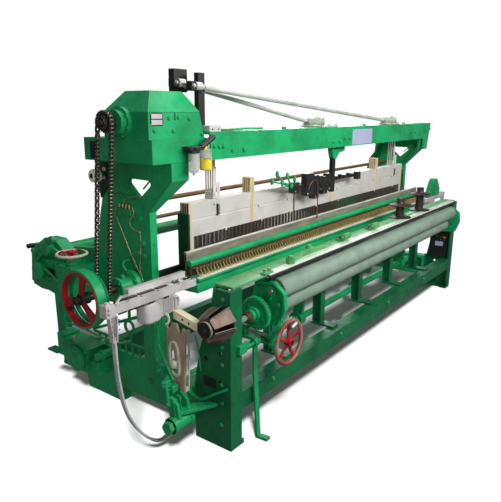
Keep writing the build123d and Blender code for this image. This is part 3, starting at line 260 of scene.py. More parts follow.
def prism(outline: Rows, low: float, high: float, along: Along, bevel: float = 0.002) -> Shape:
    """Carry an outline along an axis, with both ends chamfered.

    Args:
        outline: (points, 2) corners, given in the two axes across.
        low: where it starts along the axis.
        high: where it ends.
        along: the axis.
        bevel: width of the end chamfers.

    Returns:
        The closed shape.
    """
    corners = np.asarray(outline, float)
    inner = shrunk(corners, bevel)
    heights = (low, low + bevel, high - bevel, high)
    return skin(laid(stacked((inner, corners, corners, inner), heights), along))


def block(low: Point, high: Point, bevel: float = 0.002) -> Shape:
    """A block between two corners with all its edges chamfered."""
    corners = ((low[0], low[1]), (high[0], low[1]), (high[0], high[1]), (low[0], high[1]))
    return prism(rounded(corners, bevel * 1.2, 1), low[2], high[2], Along.Z, bevel)


def lathe(profile: Rows, centre: Point, along: Along, sides: int = 32) -> Shape:
    """Turn a closed (radius, height) profile round a line through the centre.

    A point is centre + radius * (cos, sin) across the line + height along it.

    Args:
        profile: (points, 2) radii and heights, the last joined to the first.
        centre: the point that heights are counted from.
        along: the line's axis.
        sides: steps of the full turn.

    Returns:
        A ring-shaped or solid closed skin.
    """
    section = np.asarray(profile, float)
    angle = np.linspace(0, 2 * np.pi, sides, endpoint=False)
    local = np.empty((sides, len(section), 3))
    local[..., 0] = np.cos(angle)[:, None] * section[:, 0]
    local[..., 1] = np.sin(angle)[:, None] * section[:, 0]
    local[..., 2] = section[:, 1]
    points, faces = closed(laid(local, along))
    return points + np.array(centre), faces


def turning(
    radii: tuple[float, ...], heights: tuple[float, ...], centre: Point, along: Along, sides: int = 32
) -> Shape:
    """A solid turned piece whose radii are given at rising heights, closed on its axis."""
    profile = [(0.0, heights[0]), *zip(radii, heights), (0.0, heights[-1])]
    return lathe(profile, centre, along, sides)


def ring(radius: float, thickness: float, centre: Point, along: Along, sides: int = 64) -> Shape:
    """A round-sectioned ring: a circle of half the thickness turned at the radius.

    Args:
        radius: from the ring's middle to the middle of its section.
        thickness: across the section.
        centre: the ring's middle.
        along: the axis it goes round.
        sides: steps of the full turn.

    Returns:
        The new shape.
    """
    angle = np.linspace(0, 2 * np.pi, 16, endpoint=False)
    section = np.column_stack((radius + thickness / 2 * np.cos(angle), thickness / 2 * np.sin(angle)))
    return lathe(section, centre, along, sides)


def rod(start: Point, end: Point, radius: float, sides: int = 20, bevel: float = 0.0015) -> Shape:
    """A round bar with chamfered ends: circles stand across the line from start to end.

    Args:
        start: middle of one end.
        end: middle of the other.
        radius: the bar's radius.
        sides: points in a circle.
        bevel: width of the end chamfers.

    Returns:
        The new shape.
    """
    first, last = np.array(start, float), np.array(end, float)
    length = np.linalg.norm(last - first)
    run = (last - first) / length
    across = np.cross(run, (0.0, 0.0, 1.0) if abs(run[2]) < 0.9 else (1.0, 0.0, 0.0))
    across /= np.linalg.norm(across)
    angle = np.linspace(0, 2 * np.pi, sides, endpoint=False)[:, None]
    circle = np.cos(angle) * across + np.sin(angle) * np.cross(run, across)
    edge = min(bevel, length / 3, radius / 2)
    steps = np.array((0, edge, length - edge, length))[:, None, None]
    radii = np.array((radius - edge, radius, radius, radius - edge))[:, None, None]
    return skin(first + steps * run + radii * circle)


def smoothed(points: Rows, steps: int = 6) -> Array:
    """Carry a Catmull-Rom curve through the points, with so many steps a span.

    Args:
        points: (points, 3) to pass through.
        steps: points a span.

    Returns:
        Points along the curve.
    """
    given = np.asarray(points, float)
    padded = np.concatenate((2 * given[:1] - given[1:2], given, 2 * given[-1:] - given[-2:-1]))
    t = np.linspace(0, 1, steps, endpoint=False)[None, :, None]
    a, b, c, d = (padded[i : len(given) - 1 + i][:, None] for i in range(4))
    spans = 0.5 * (2 * b + (c - a) * t + (2 * a - 5 * b + 4 * c - d) * t**2 + (3 * b - a - 3 * c + d) * t**3)
    return np.concatenate((spans.reshape(-1, 3), given[-1:]))


def sweep(path: Rows, section: Rows, level: Point = (0.0, 1.0, 0.0)) -> Shape:
    """Carry a closed section along a path.

    The section's first number runs along the level direction, squared to the path,
    and its second number runs across both.

    Args:
        path: (points, 3) line to follow.
        section: (points, 2) closed section.
        level: direction that the section's first number keeps to.

    Returns:
        The closed shape.
    """
    path, section = np.asarray(path, float), np.asarray(section, float)
    tangent = np.gradient(path, axis=0)
    tangent /= np.linalg.norm(tangent, axis=1, keepdims=True)
    first = np.array(level) - np.sum(tangent * np.array(level), axis=1, keepdims=True) * tangent
    first /= np.linalg.norm(first, axis=1, keepdims=True)
    second = np.cross(tangent, first)
    rings = path[:, None] + section[None, :, :1] * first[:, None] + section[None, :, 1:] * second[:, None]
    return skin(rings)


def pipe(points: list[Point], radius: float, level: Point = (1.0, 0.0, 0.0), sides: int = 8) -> Shape:
    """A round pipe along a smooth curve through the points."""
    angle = np.linspace(0, 2 * np.pi, sides, endpoint=False)
    return sweep(smoothed(points), radius * np.column_stack((np.cos(angle), np.sin(angle))), level)


def heads(
    places: list[Point], along: Along, radius: float = 0.011, height: float = 0.009, out: float = -1.0
) -> Shape:
    """Hexagon bolt heads on washers.

    Args:
        places: where each bolt meets its surface.
        along: the bolts' axis.
        radius: corner radius of the head.
        height: head and washer together.
        out: -1 or 1, the way the heads face along the axis.

    Returns:
        All heads as one shape.
    """
    washer = turning((1.25 * radius, 1.25 * radius), (0.0, 0.2 * height * out), HERE, along, 16)
    tall = (0.2 * height * out, 0.85 * height * out, height * out)
    head = turning((radius, radius, 0.85 * radius), tall, HERE, along, 6)
    return copies(joined(washer, head), places)


def bolt_circle(centre: Point, radius: float, angles: Array) -> list[Point]:
    """Places round a circle that stands across the x axis, at angles in radians."""
    x, y, z = centre
    return [(x, y + radius * math.cos(angle), z + radius * math.sin(angle)) for angle in angles]


def reach(outline: Array, centre: Array, angles: Array) -> Array:
    """Points where rays from a centre at the given angles last cross an outline.

    A ray meets an edge from a to b at the part t of the edge where the edge point has
    no distance across the ray; the farthest such point in front of the centre counts.

    Args:
        outline: (points, 2) closed outline seen whole from the centre.
        centre: start of the rays.
        angles: directions of the rays.

    Returns:
        One point a ray.
    """
    start = outline - centre
    run = np.roll(start, -1, 0) - start
    ahead = np.column_stack((np.cos(angles), np.sin(angles)))
    across = np.column_stack((-ahead[:, 1], ahead[:, 0]))
    slope = across @ run.T
    t = -(across @ start.T) / np.where(np.abs(slope) < 1e-12, 1e-12, slope)
    distance = ahead @ start.T + t * (ahead @ run.T)
    distance = np.where((t > -1e-9) & (t < 1 + 1e-9), distance, -1.0).max(axis=1)
    return centre + distance[:, None] * ahead


def frame_plate(outline: Rows, opening: Rows, low: float, high: float, along: Along, bevel: float = 0.0015) -> Shape:
    """A plate with one opening: both outlines are cut by the same rays and joined by a ring of skin.

    Args:
        outline: (points, 2) outer corners.
        opening: (points, 2) corners of the opening.
        low: where it starts along the axis.
        high: where it ends.
        along: the axis.
        bevel: width of the chamfers.

    Returns:
        The new shape.
    """
    outline, opening = np.asarray(outline, float), np.asarray(opening, float)
    centre = opening.mean(axis=0)
    corners = np.concatenate((outline, opening)) - centre
    angles = np.unique(
        np.round(
            np.concatenate(
                (np.arctan2(corners[:, 1], corners[:, 0]), np.linspace(-np.pi, np.pi, 48, endpoint=False))
            ),
            6,
        )
    )
    outer, inner = reach(outline, centre, angles), reach(opening, centre, angles)
    lines = (
        outer, shrunk(outer, bevel), shrunk(inner, -bevel), inner, inner, shrunk(inner, -bevel), shrunk(outer, bevel),
        outer,
    )
    heights = (low + bevel, low, low, low + bevel, high - bevel, high, high, high - bevel)
    return closed(laid(stacked(lines, heights), along))


# Finishes: each one is a procedural material on object coordinates


class Graph:
    """A material's node tree, written by short calls."""

    def __init__(self, name: str) -> None:
        """Start a material with one shader."""
        self.material = bpy.data.materials.new(name)
        self.material.use_nodes = True
        self.tree = self.material.node_tree
        self.shader = self.tree.nodes["Principled BSDF"]
        self.place = self.tree.nodes.new("ShaderNodeTexCoord").outputs["Object"]

    def node(self, kind: str, **inputs: object) -> bpy.types.Node:
        """Add a node and set or link its inputs by name.

        Args:
            kind: the node's type.
            inputs: values, or outputs of other nodes.

        Returns:
            The node.
        """
        made = self.tree.nodes.new(kind)
        for name, value in inputs.items():
            self.feed(made.inputs[name.replace("_", " ")], value)
        return made

    def feed(self, socket: bpy.types.NodeSocket, value: object) -> None:
        """Link another node's output to a socket, or set the socket to a constant."""
        if isinstance(value, bpy.types.NodeSocket):
            self.tree.links.new(value, socket)
        else:
            socket.default_value = value

    def stretched(self, scale: Point) -> bpy.types.NodeSocket:
        """Object coordinates stretched along the axes."""
        return self.node("ShaderNodeMapping", Vector=self.place, Scale=scale).outputs["Vector"]

    def noise(
        self, scale: float, detail: float = 4.0, place: bpy.types.NodeSocket | None = None
    ) -> bpy.types.NodeSocket:
        """Cloudy noise between 0 and 1."""
        where = self.place if place is None else place
        return self.node("ShaderNodeTexNoise", Vector=where, Scale=scale, Detail=detail).outputs["Fac"]

    def ramp(
        self, value: bpy.types.NodeSocket, low: float, high: float, first: float = 0.0, last: float = 1.0
    ) -> bpy.types.NodeSocket:
        """Spread the values between low and high over first to last."""
        made = self.node("ShaderNodeMapRange", Value=value, From_Min=low, From_Max=high, To_Min=first, To_Max=last)
        return made.outputs["Result"]

    def mix(self, amount: bpy.types.NodeSocket, first: object, second: object) -> bpy.types.NodeSocket:
        """Mix two colours, each a colour or another node's output.

        Args:
            amount: share of the second colour.
            first: the first colour.
            second: the second.

        Returns:
            The new node's output.
        """
        made = self.tree.nodes.new("ShaderNodeMix")
        made.data_type = "RGBA"
        self.feed(made.inputs[0], amount)
        for socket, value in ((made.inputs[6], first), (made.inputs[7], second)):
            self.feed(socket, value if isinstance(value, bpy.types.NodeSocket) else (*value, 1.0))
        return made.outputs[2]

    def product(self, first: bpy.types.NodeSocket, second: object) -> bpy.types.NodeSocket:
        """Multiply two values.

        Args:
            first: another node's output.
            second: a number or an output.

        Returns:
            The new node's output.
        """
        made = self.tree.nodes.new("ShaderNodeMath")
        made.operation = "MULTIPLY"
        for socket, value in zip(made.inputs, (first, second)):
            self.feed(socket, value)
        return made.outputs[0]

    def edges(self, radius: float) -> tuple[bpy.types.NodeSocket, bpy.types.NodeSocket]:
        """Rounded normals, and how near a point lies to a sharp edge.

        Args:
            radius: how far round an edge is looked at.

        Returns:
            The normals, and the nearness.
        """
        soft = self.tree.nodes.new("ShaderNodeBevel")
        soft.samples = 4
        soft.inputs["Radius"].default_value = radius
        true = self.tree.nodes.new("ShaderNodeNewGeometry").outputs["Normal"]
        dot = self.tree.nodes.new("ShaderNodeVectorMath")
        dot.operation = "DOT_PRODUCT"
        self.tree.links.new(soft.outputs["Normal"], dot.inputs[0])
        self.tree.links.new(true, dot.inputs[1])
        return soft.outputs["Normal"], self.ramp(dot.outputs["Value"], 0.995, 0.86)

    def bump(
        self, height: bpy.types.NodeSocket, depth: float, normal: bpy.types.NodeSocket | None = None
    ) -> bpy.types.NodeSocket:
        """Relief of the given depth in metres, on top of the given normals."""
        made = self.node("ShaderNodeBump", Height=height, Distance=depth)
        if normal is not None:
            self.tree.links.new(normal, made.inputs["Normal"])
        return made.outputs["Normal"]

    def finish(
        self, colour: bpy.types.NodeSocket, roughness: bpy.types.NodeSocket, normal: bpy.types.NodeSocket,
        **fixed: float,
    ) -> bpy.types.Material:
        """Link the shader's main sockets and set its constants."""
        for name, value in {"Base_Color": colour, "Roughness": roughness, "Normal": normal, **fixed}.items():
            self.feed(self.shader.inputs[name.replace("_", " ")], value)
        return self.material


@dataclass(frozen=True)
class Enamel:
    """Gloss enamel brushed over a rough casting, dirty in patches and rubbed on its edges."""

    name: str
    colour: Colour
    dirty: Colour
    rubbed: Colour
    roughness: float = 0.36
    grain: float = 0.0006
    wear: float = 0.55

    def material(self) -> bpy.types.Material:
        """Make the material."""
        g = Graph(self.name)
        soft, edge = g.edges(0.003)
        patches = g.ramp(g.noise(5.0, 6.0), 0.42, 0.72)
        grime = g.ramp(g.noise(28.0, 8.0), 0.5, 0.8, 0.0, 0.5)
        painted = g.mix(grime, g.mix(g.product(patches, 0.75), self.colour, self.dirty), self.dirty)
        rub = g.product(edge, g.ramp(g.noise(22.0, 4.0), 0.4, 0.62, 0.0, self.wear))
        colour = g.mix(rub, painted, self.rubbed)
        rough = g.ramp(g.noise(14.0, 6.0), 0.3, 0.75, self.roughness - 0.08, self.roughness + 0.16)
        return g.finish(colour, rough, g.bump(g.noise(90.0, 5.0), self.grain, soft), Specular_IOR_Level=0.3)


@dataclass(frozen=True)
class Metal:
    """Bare or lightly coated metal with dull patches and fine scratches along one way."""

    name: str
    colour: Colour
    stained: Colour
    metallic: float = 1.0
    roughness: float = 0.35
    stretch: Point = (1.0, 1.0, 1.0)
    grain: float = 0.0002
    stain: float = 0.6

    def material(self) -> bpy.types.Material:
        """Make the material."""
        g = Graph(self.name)
        soft, edge = g.edges(0.0015)
        place = g.stretched(self.stretch)
        stains = g.ramp(g.noise(9.0, 7.0), 0.45, 0.7, 0.0, self.stain)
        streaks = g.ramp(g.noise(160.0, 3.0, place), 0.35, 0.7, 0.0, 0.28)
        colour = g.mix(streaks, g.mix(stains, self.colour, self.stained), self.stained)
        colour = g.mix(g.product(edge, 0.25), colour, (0.85, 0.85, 0.83))
        rough = g.ramp(g.noise(40.0, 5.0, place), 0.3, 0.7, self.roughness - 0.08, self.roughness + 0.14)
        return g.finish(colour, rough, g.bump(g.noise(220.0, 4.0, place), self.grain, soft), Metallic=self.metallic)


@dataclass(frozen=True)
class Grit:
    """Emery or rubber cover wound in a spiral round a roller, rough all over."""

    name: str
    colour: Colour
    dark: Colour

    def material(self) -> bpy.types.Material:
        """Make the material."""
        g = Graph(self.name)
        grains = g.noise(420.0, 2.0)
        blotch = g.ramp(g.noise(16.0, 6.0, g.stretched((0.5, 1.0, 1.0))), 0.4, 0.72, 0.0, 0.75)
        speck = g.ramp(grains, 0.42, 0.6, 0.0, 0.45)
        colour = g.mix(speck, g.mix(blotch, self.colour, self.dark), self.dark)
        rough = g.ramp(grains, 0.3, 0.7, 0.75, 0.95)
        return g.finish(colour, rough, g.bump(grains, 0.0012))


@dataclass(frozen=True)
class Dull:
    """Plastic, rubber, wood or board: matt, with streaks of a second colour."""

    name: str
    colour: Colour
    streak: Colour
    roughness: float = 0.6
    stretch: Point = (1.0, 1.0, 1.0)
    scale: float = 40.0
    grain: float = 0.0003

    def material(self) -> bpy.types.Material:
        """Make the material."""
        g = Graph(self.name)
        place = g.stretched(self.stretch)
        lines = g.noise(self.scale, 5.0, place)
        colour = g.mix(g.ramp(lines, 0.35, 0.7, 0.0, 0.9), self.colour, self.streak)
        rough = g.ramp(g.noise(60.0, 3.0), 0.3, 0.7, self.roughness - 0.1, self.roughness + 0.1)
        return g.finish(colour, rough, g.bump(lines, self.grain))


@dataclass(frozen=True)
class Glassy:
    """Clear plastic of the filter bowls, slightly clouded with oil."""

    name: str
    colour: Colour
    cloud: Colour

    def material(self) -> bpy.types.Material:
        """Make the material."""
        g = Graph(self.name)
        clouds = g.ramp(g.noise(30.0, 4.0), 0.4, 0.7, 0.0, 0.6)
        rough = g.ramp(g.noise(25.0, 3.0), 0.3, 0.7, 0.05, 0.18)
        return g.finish(
            g.mix(clouds, self.colour, self.cloud), rough, g.bump(g.noise(50.0), 0.0002), Alpha=0.38, IOR=1.45
        )


GREEN = Enamel("green_enamel", (0.01, 0.38, 0.125), (0.003, 0.17, 0.055), (0.14, 0.48, 0.27))
# Darker green of the stands, bottom rails and table supports: partly grime, partly painted shade for the dimmer light
# low down.
LOW_GRIMY_SHADED_GREEN = Enamel("low_green_grime_and_shade", (0.004, 0.15, 0.052), (0.002, 0.055, 0.022), (0.05, 0.3, 0.15))
# Painted shade: a near-black green that stands for green parts seen in shade.
SHADE_GREEN = Enamel("green_in_painted_shade", (0.004, 0.05, 0.022), (0.002, 0.02, 0.01), (0.03, 0.16, 0.07), 0.5)
PALE_GREEN = Enamel("table_green", (0.12, 0.36, 0.14), (0.03, 0.24, 0.08), (0.4, 0.5, 0.36), 0.3)
RED = Enamel("red_enamel", (0.46, 0.01, 0.015), (0.17, 0.006, 0.008), (0.42, 0.1, 0.07))
WORN_RIM = Enamel("worn_red_rim", (0.2, 0.03, 0.02), (0.42, 0.34, 0.26), (0.7, 0.62, 0.55), 0.4, wear=0.9)
CREAM_RIM = Enamel("cream_rim", (0.78, 0.72, 0.6), (0.55, 0.4, 0.3), (0.8, 0.74, 0.62), 0.4)
CREAM = Enamel("cream_enamel", (0.95, 0.9, 0.62), (0.72, 0.62, 0.34), (0.85, 0.8, 0.6))
BLACK = Enamel("black_enamel", (0.01, 0.01, 0.01), (0.022, 0.02, 0.018), (0.1, 0.09, 0.08), 0.42)
SILVER = Metal("silver_casting", (0.66, 0.63, 0.63), (0.34, 0.31, 0.3), 0.2, 0.42, grain=0.0005)
# Painted highlight: near-white for the slotted lever's raised ring, boss and flange, standing for the light they
# catch.
LEVER_HIGHLIGHT = Metal("lever_painted_highlight", (0.92, 0.82, 0.7), (0.52, 0.44, 0.36), 0.1, 0.4, grain=0.0004)
WARM_SILVER = Metal("worn_casting", (0.54, 0.39, 0.28), (0.24, 0.17, 0.115), 0.25, 0.5, grain=0.0006)
DRUM_TAN = Metal("drum_edge", (0.36, 0.28, 0.2), (0.2, 0.14, 0.09), 0.3, 0.45)
DRUM_BROWN = Metal("drum_plate", (0.15, 0.1, 0.07), (0.07, 0.042, 0.03), 0.35, 0.45)
ALUMINIUM = Metal("heald_aluminium", (0.72, 0.7, 0.66), (0.5, 0.48, 0.44), 0.25, 0.42, (0.05, 1.0, 1.0), stain=0.5)
PALE_TUBE = Metal("pale_tube", (0.6, 0.62, 0.57), (0.34, 0.36, 0.31), 0.3, 0.4, (0.1, 1.0, 1.0))
PALE_CAP = Metal("pale_cap", (1.0, 1.0, 0.88), (0.85, 0.88, 0.7), 0.0, 0.5)
CRANK_PALE = Metal("crank_rollers", (0.5, 0.6, 0.46), (0.25, 0.36, 0.24), 0.2, 0.4)
STEEL = Metal("bright_steel", (0.52, 0.5, 0.46), (0.2, 0.17, 0.13), 0.8, 0.3)
CHAIN_BLACK = Metal("oiled_chain", (0.012, 0.01, 0.008), (0.005, 0.004, 0.003), 0.4, 0.5)
CHAIN_PALE = Metal("chain_rollers", (0.3, 0.23, 0.14), (0.06, 0.045, 0.03), 0.6, 0.35)
OILED_IRON = Metal("oiled_iron", (0.045, 0.032, 0.02), (0.014, 0.01, 0.007), 0.5, 0.45)
BRONZE = Metal("brown_bronze", (0.2, 0.115, 0.045), (0.05, 0.03, 0.015), 0.5, 0.5)
COPPER = Metal("oil_pipe", (0.46, 0.4, 0.18), (0.28, 0.22, 0.1), 0.4, 0.4)
EMERY = Grit("roller_emery", (0.25, 0.345, 0.27), (0.15, 0.22, 0.17))
WOOD = Dull("pale_wood", (0.72, 0.56, 0.34), (0.5, 0.33, 0.16), 0.6, (1.0, 1.0, 0.08), 60.0)
# Painted shade: near-black block behind the sley's comb, standing for the shade between comb and tube.
SLEY_SHADE_DARK = Dull("sley_painted_shade", (0.06, 0.035, 0.014), (0.02, 0.012, 0.006), 0.6, (1.0, 1.0, 0.1), 60.0)
REED_BOARD = Dull("reed_board", (0.27, 0.235, 0.19), (0.12, 0.1, 0.07), 0.55, (0.2, 1.0, 1.0), 30.0)
COMB_TAN = Dull("comb_tan", (0.46, 0.33, 0.12), (0.2, 0.13, 0.045), 0.5, (1.0, 1.0, 1.0), 60.0)
# Painted shade: near-black strip behind the comb's teeth, standing for the shade in the gaps between them.
COMB_SHADE_DARK = Metal("comb_painted_shade", (0.035, 0.025, 0.012), (0.012, 0.009, 0.005), 0.5, 0.45)
WHITE_STRIP = Dull("white_strip", (0.68, 0.65, 0.6), (0.52, 0.47, 0.41), 0.5, (1.0, 1.0, 0.2))
BLACK_PLASTIC = Dull("black_plastic", (0.01, 0.01, 0.011), (0.024, 0.022, 0.02), 0.42)
SPOOL_BROWN = Dull("spool_brown", (0.012, 0.009, 0.008), (0.05, 0.02, 0.012), 0.4, (1.0, 1.0, 4.0), 30.0)
YELLOW = Dull("yellow_oil_cup", (0.85, 0.7, 0.03), (0.72, 0.5, 0.01), 0.4)
ORANGE = Dull("orange_button", (0.5, 0.12, 0.03), (0.35, 0.08, 0.02), 0.4)
BARE_PLATE = Metal("bare_plate", (0.46, 0.5, 0.7), (0.36, 0.4, 0.58), 0.2, 0.4, (1.0, 1.0, 0.1), stain=0.3)
GREY_PLATE = Metal("grey_plate", (0.52, 0.5, 0.5), (0.34, 0.32, 0.32), 0.3, 0.4, (1.0, 1.0, 0.1), stain=0.4)
# Painted sheen: the table nose's near-white colour stands for the shine along the table's front edge.
NOSE_SHEEN_STEEL = Metal("nose_painted_sheen", (0.66, 0.72, 0.62), (0.4, 0.54, 0.38), 0.15, 0.28, (0.05, 1.0, 1.0), stain=0.35)
HEALD_WIRE = Metal("heald_wire", (0.1, 0.065, 0.035), (0.02, 0.014, 0.008), 0.5, 0.5, (1.0, 1.0, 0.1))
REED_WIRE = Dull("reed_dents", (0.16, 0.13, 0.09), (0.05, 0.04, 0.025), 0.5, (8.0, 1.0, 0.02), 60.0)
BOWL = Glassy("clear_bowl", (0.72, 0.74, 0.7), (0.42, 0.44, 0.38))

Finish = Enamel | Metal | Grit | Dull | Glassy

NODES_IN: dict[Finish, tuple[str, ...]] = {
    LOW_GRIMY_SHADED_GREEN: ("left_front_stand", "right_front_stand", "front_bottom_rail", "rear_bottom_rail", "table_supports"),
    SHADE_GREEN: ("heald_guides",),
    PALE_GREEN: ("temples", "stop_lever", "table"),
    SILVER: ("rapier_tray", "rapier_case", "tape_guide", "right_rapier_unit"),
    WARM_SILVER: ("slotted_lever",),
    PALE_TUBE: ("pull_rods", "crank_brackets"),
    CREAM: ("rapier_arm",),
    BLACK: ("lever_posts", "control_box"),
    OILED_IRON: ("sprockets",),
    DRUM_BROWN: ("band_wheel",),
    BRONZE: ("warp_bars",),
    COMB_SHADE_DARK: ("guide_teeth",),
    EMERY: ("press_roller", "take_up_roller"),
    REED_WIRE: ("reed",),
    SPOOL_BROWN: ("spools",),
    BLACK_PLASTIC: ("weft_selector",),
    BOWL: ("lubricator",),
}
NODE_FINISH = {node: finish for finish, nodes in NODES_IN.items() for node in nodes}


class Paints:
    """Makes each finish's material once."""

    def __init__(self) -> None:
        """Start with no materials."""
        self.made: dict[str, bpy.types.Material] = {}

    def of(self, finish: Finish) -> bpy.types.Material:
        """The material of a finish."""
        if finish.name not in self.made:
            self.made[finish.name] = finish.material()
        return self.made[finish.name]

    def dress_frame(self) -> None:
        """Give every CAD node its finish."""
        for name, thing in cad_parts.items():
            finish = NODE_FINISH.get(name, GREEN)
            thing.data.materials.clear()
            thing.data.materials.append(self.of(finish))
            LOG.info("node %s: %s", name, finish.name)


PAINTS = Paints()


@dataclass
class Piece:
    """One named mesh, gathered shape by shape, each shape with its finish."""

    name: str
    body: str = "frame"
    slot: str = "green_paint"
    stands_for: tuple[str, ...] = ()
    points: list[Array] = field(default_factory=list)
    faces: list[Array] = field(default_factory=list)
    looks: list[Array] = field(default_factory=list)
    finishes: list[Finish] = field(default_factory=list)

    def add(self, finish: Finish, *shapes: Shape) -> None:
        """Add shapes that share one finish.

        Args:
            finish: the paint or metal of all of them.
            shapes: the shapes, in any number.
        """
        if finish not in self.finishes:
            self.finishes.append(finish)
        number = self.finishes.index(finish)
        count = sum(len(points) for points in self.points)
        points, faces = joined(*shapes)
        self.points.append(points)
        self.faces += [numbers + count for numbers in faces]
        self.looks += [np.full(len(numbers), number) for numbers in faces]

    def make(self) -> bpy.types.Object:
        """Make the object: fill the mesh, close seams, turn faces out, dress it and let it ride."""
        points = np.concatenate(self.points) + ORIGIN
        totals = np.concatenate([np.full(len(numbers), numbers.shape[1]) for numbers in self.faces])
        corners = np.concatenate([numbers.ravel() for numbers in self.faces])
        mesh = bpy.data.meshes.new(self.name)
        mesh.vertices.add(len(points))
        mesh.vertices.foreach_set("co", points.astype(np.float32).ravel())
        mesh.loops.add(len(corners))
        mesh.loops.foreach_set("vertex_index", corners.astype(np.int32))
        mesh.polygons.add(len(totals))
        mesh.polygons.foreach_set("loop_start", np.concatenate(((0,), np.cumsum(totals)[:-1])).astype(np.int32))
        mesh.polygons.foreach_set("material_index", np.concatenate(self.looks).astype(np.int32))
        mesh.update(calc_edges=True)
        mesh.validate()
        work = bmesh.new()
        work.from_mesh(mesh)
        bmesh.ops.remove_doubles(work, verts=work.verts, dist=WELD_DISTANCE)
        bmesh.ops.recalc_face_normals(work, faces=work.faces)
        work.to_mesh(mesh)
        work.free()
        mesh.shade_smooth()
        mesh.set_sharp_from_angle(angle=math.radians(SHARP_ANGLE))
        for finish in self.finishes:
            mesh.materials.append(PAINTS.of(finish))
        thing = bpy.data.objects.new(self.name, mesh)
        bpy.context.scene.collection.objects.link(thing)
        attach(thing, self.body)
        if self.stands_for:
            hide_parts(*self.stands_for)
        LOG.info("piece %s on %s: %d faces", self.name, self.body, len(mesh.polygons))
        return thing


# Sub-assemblies


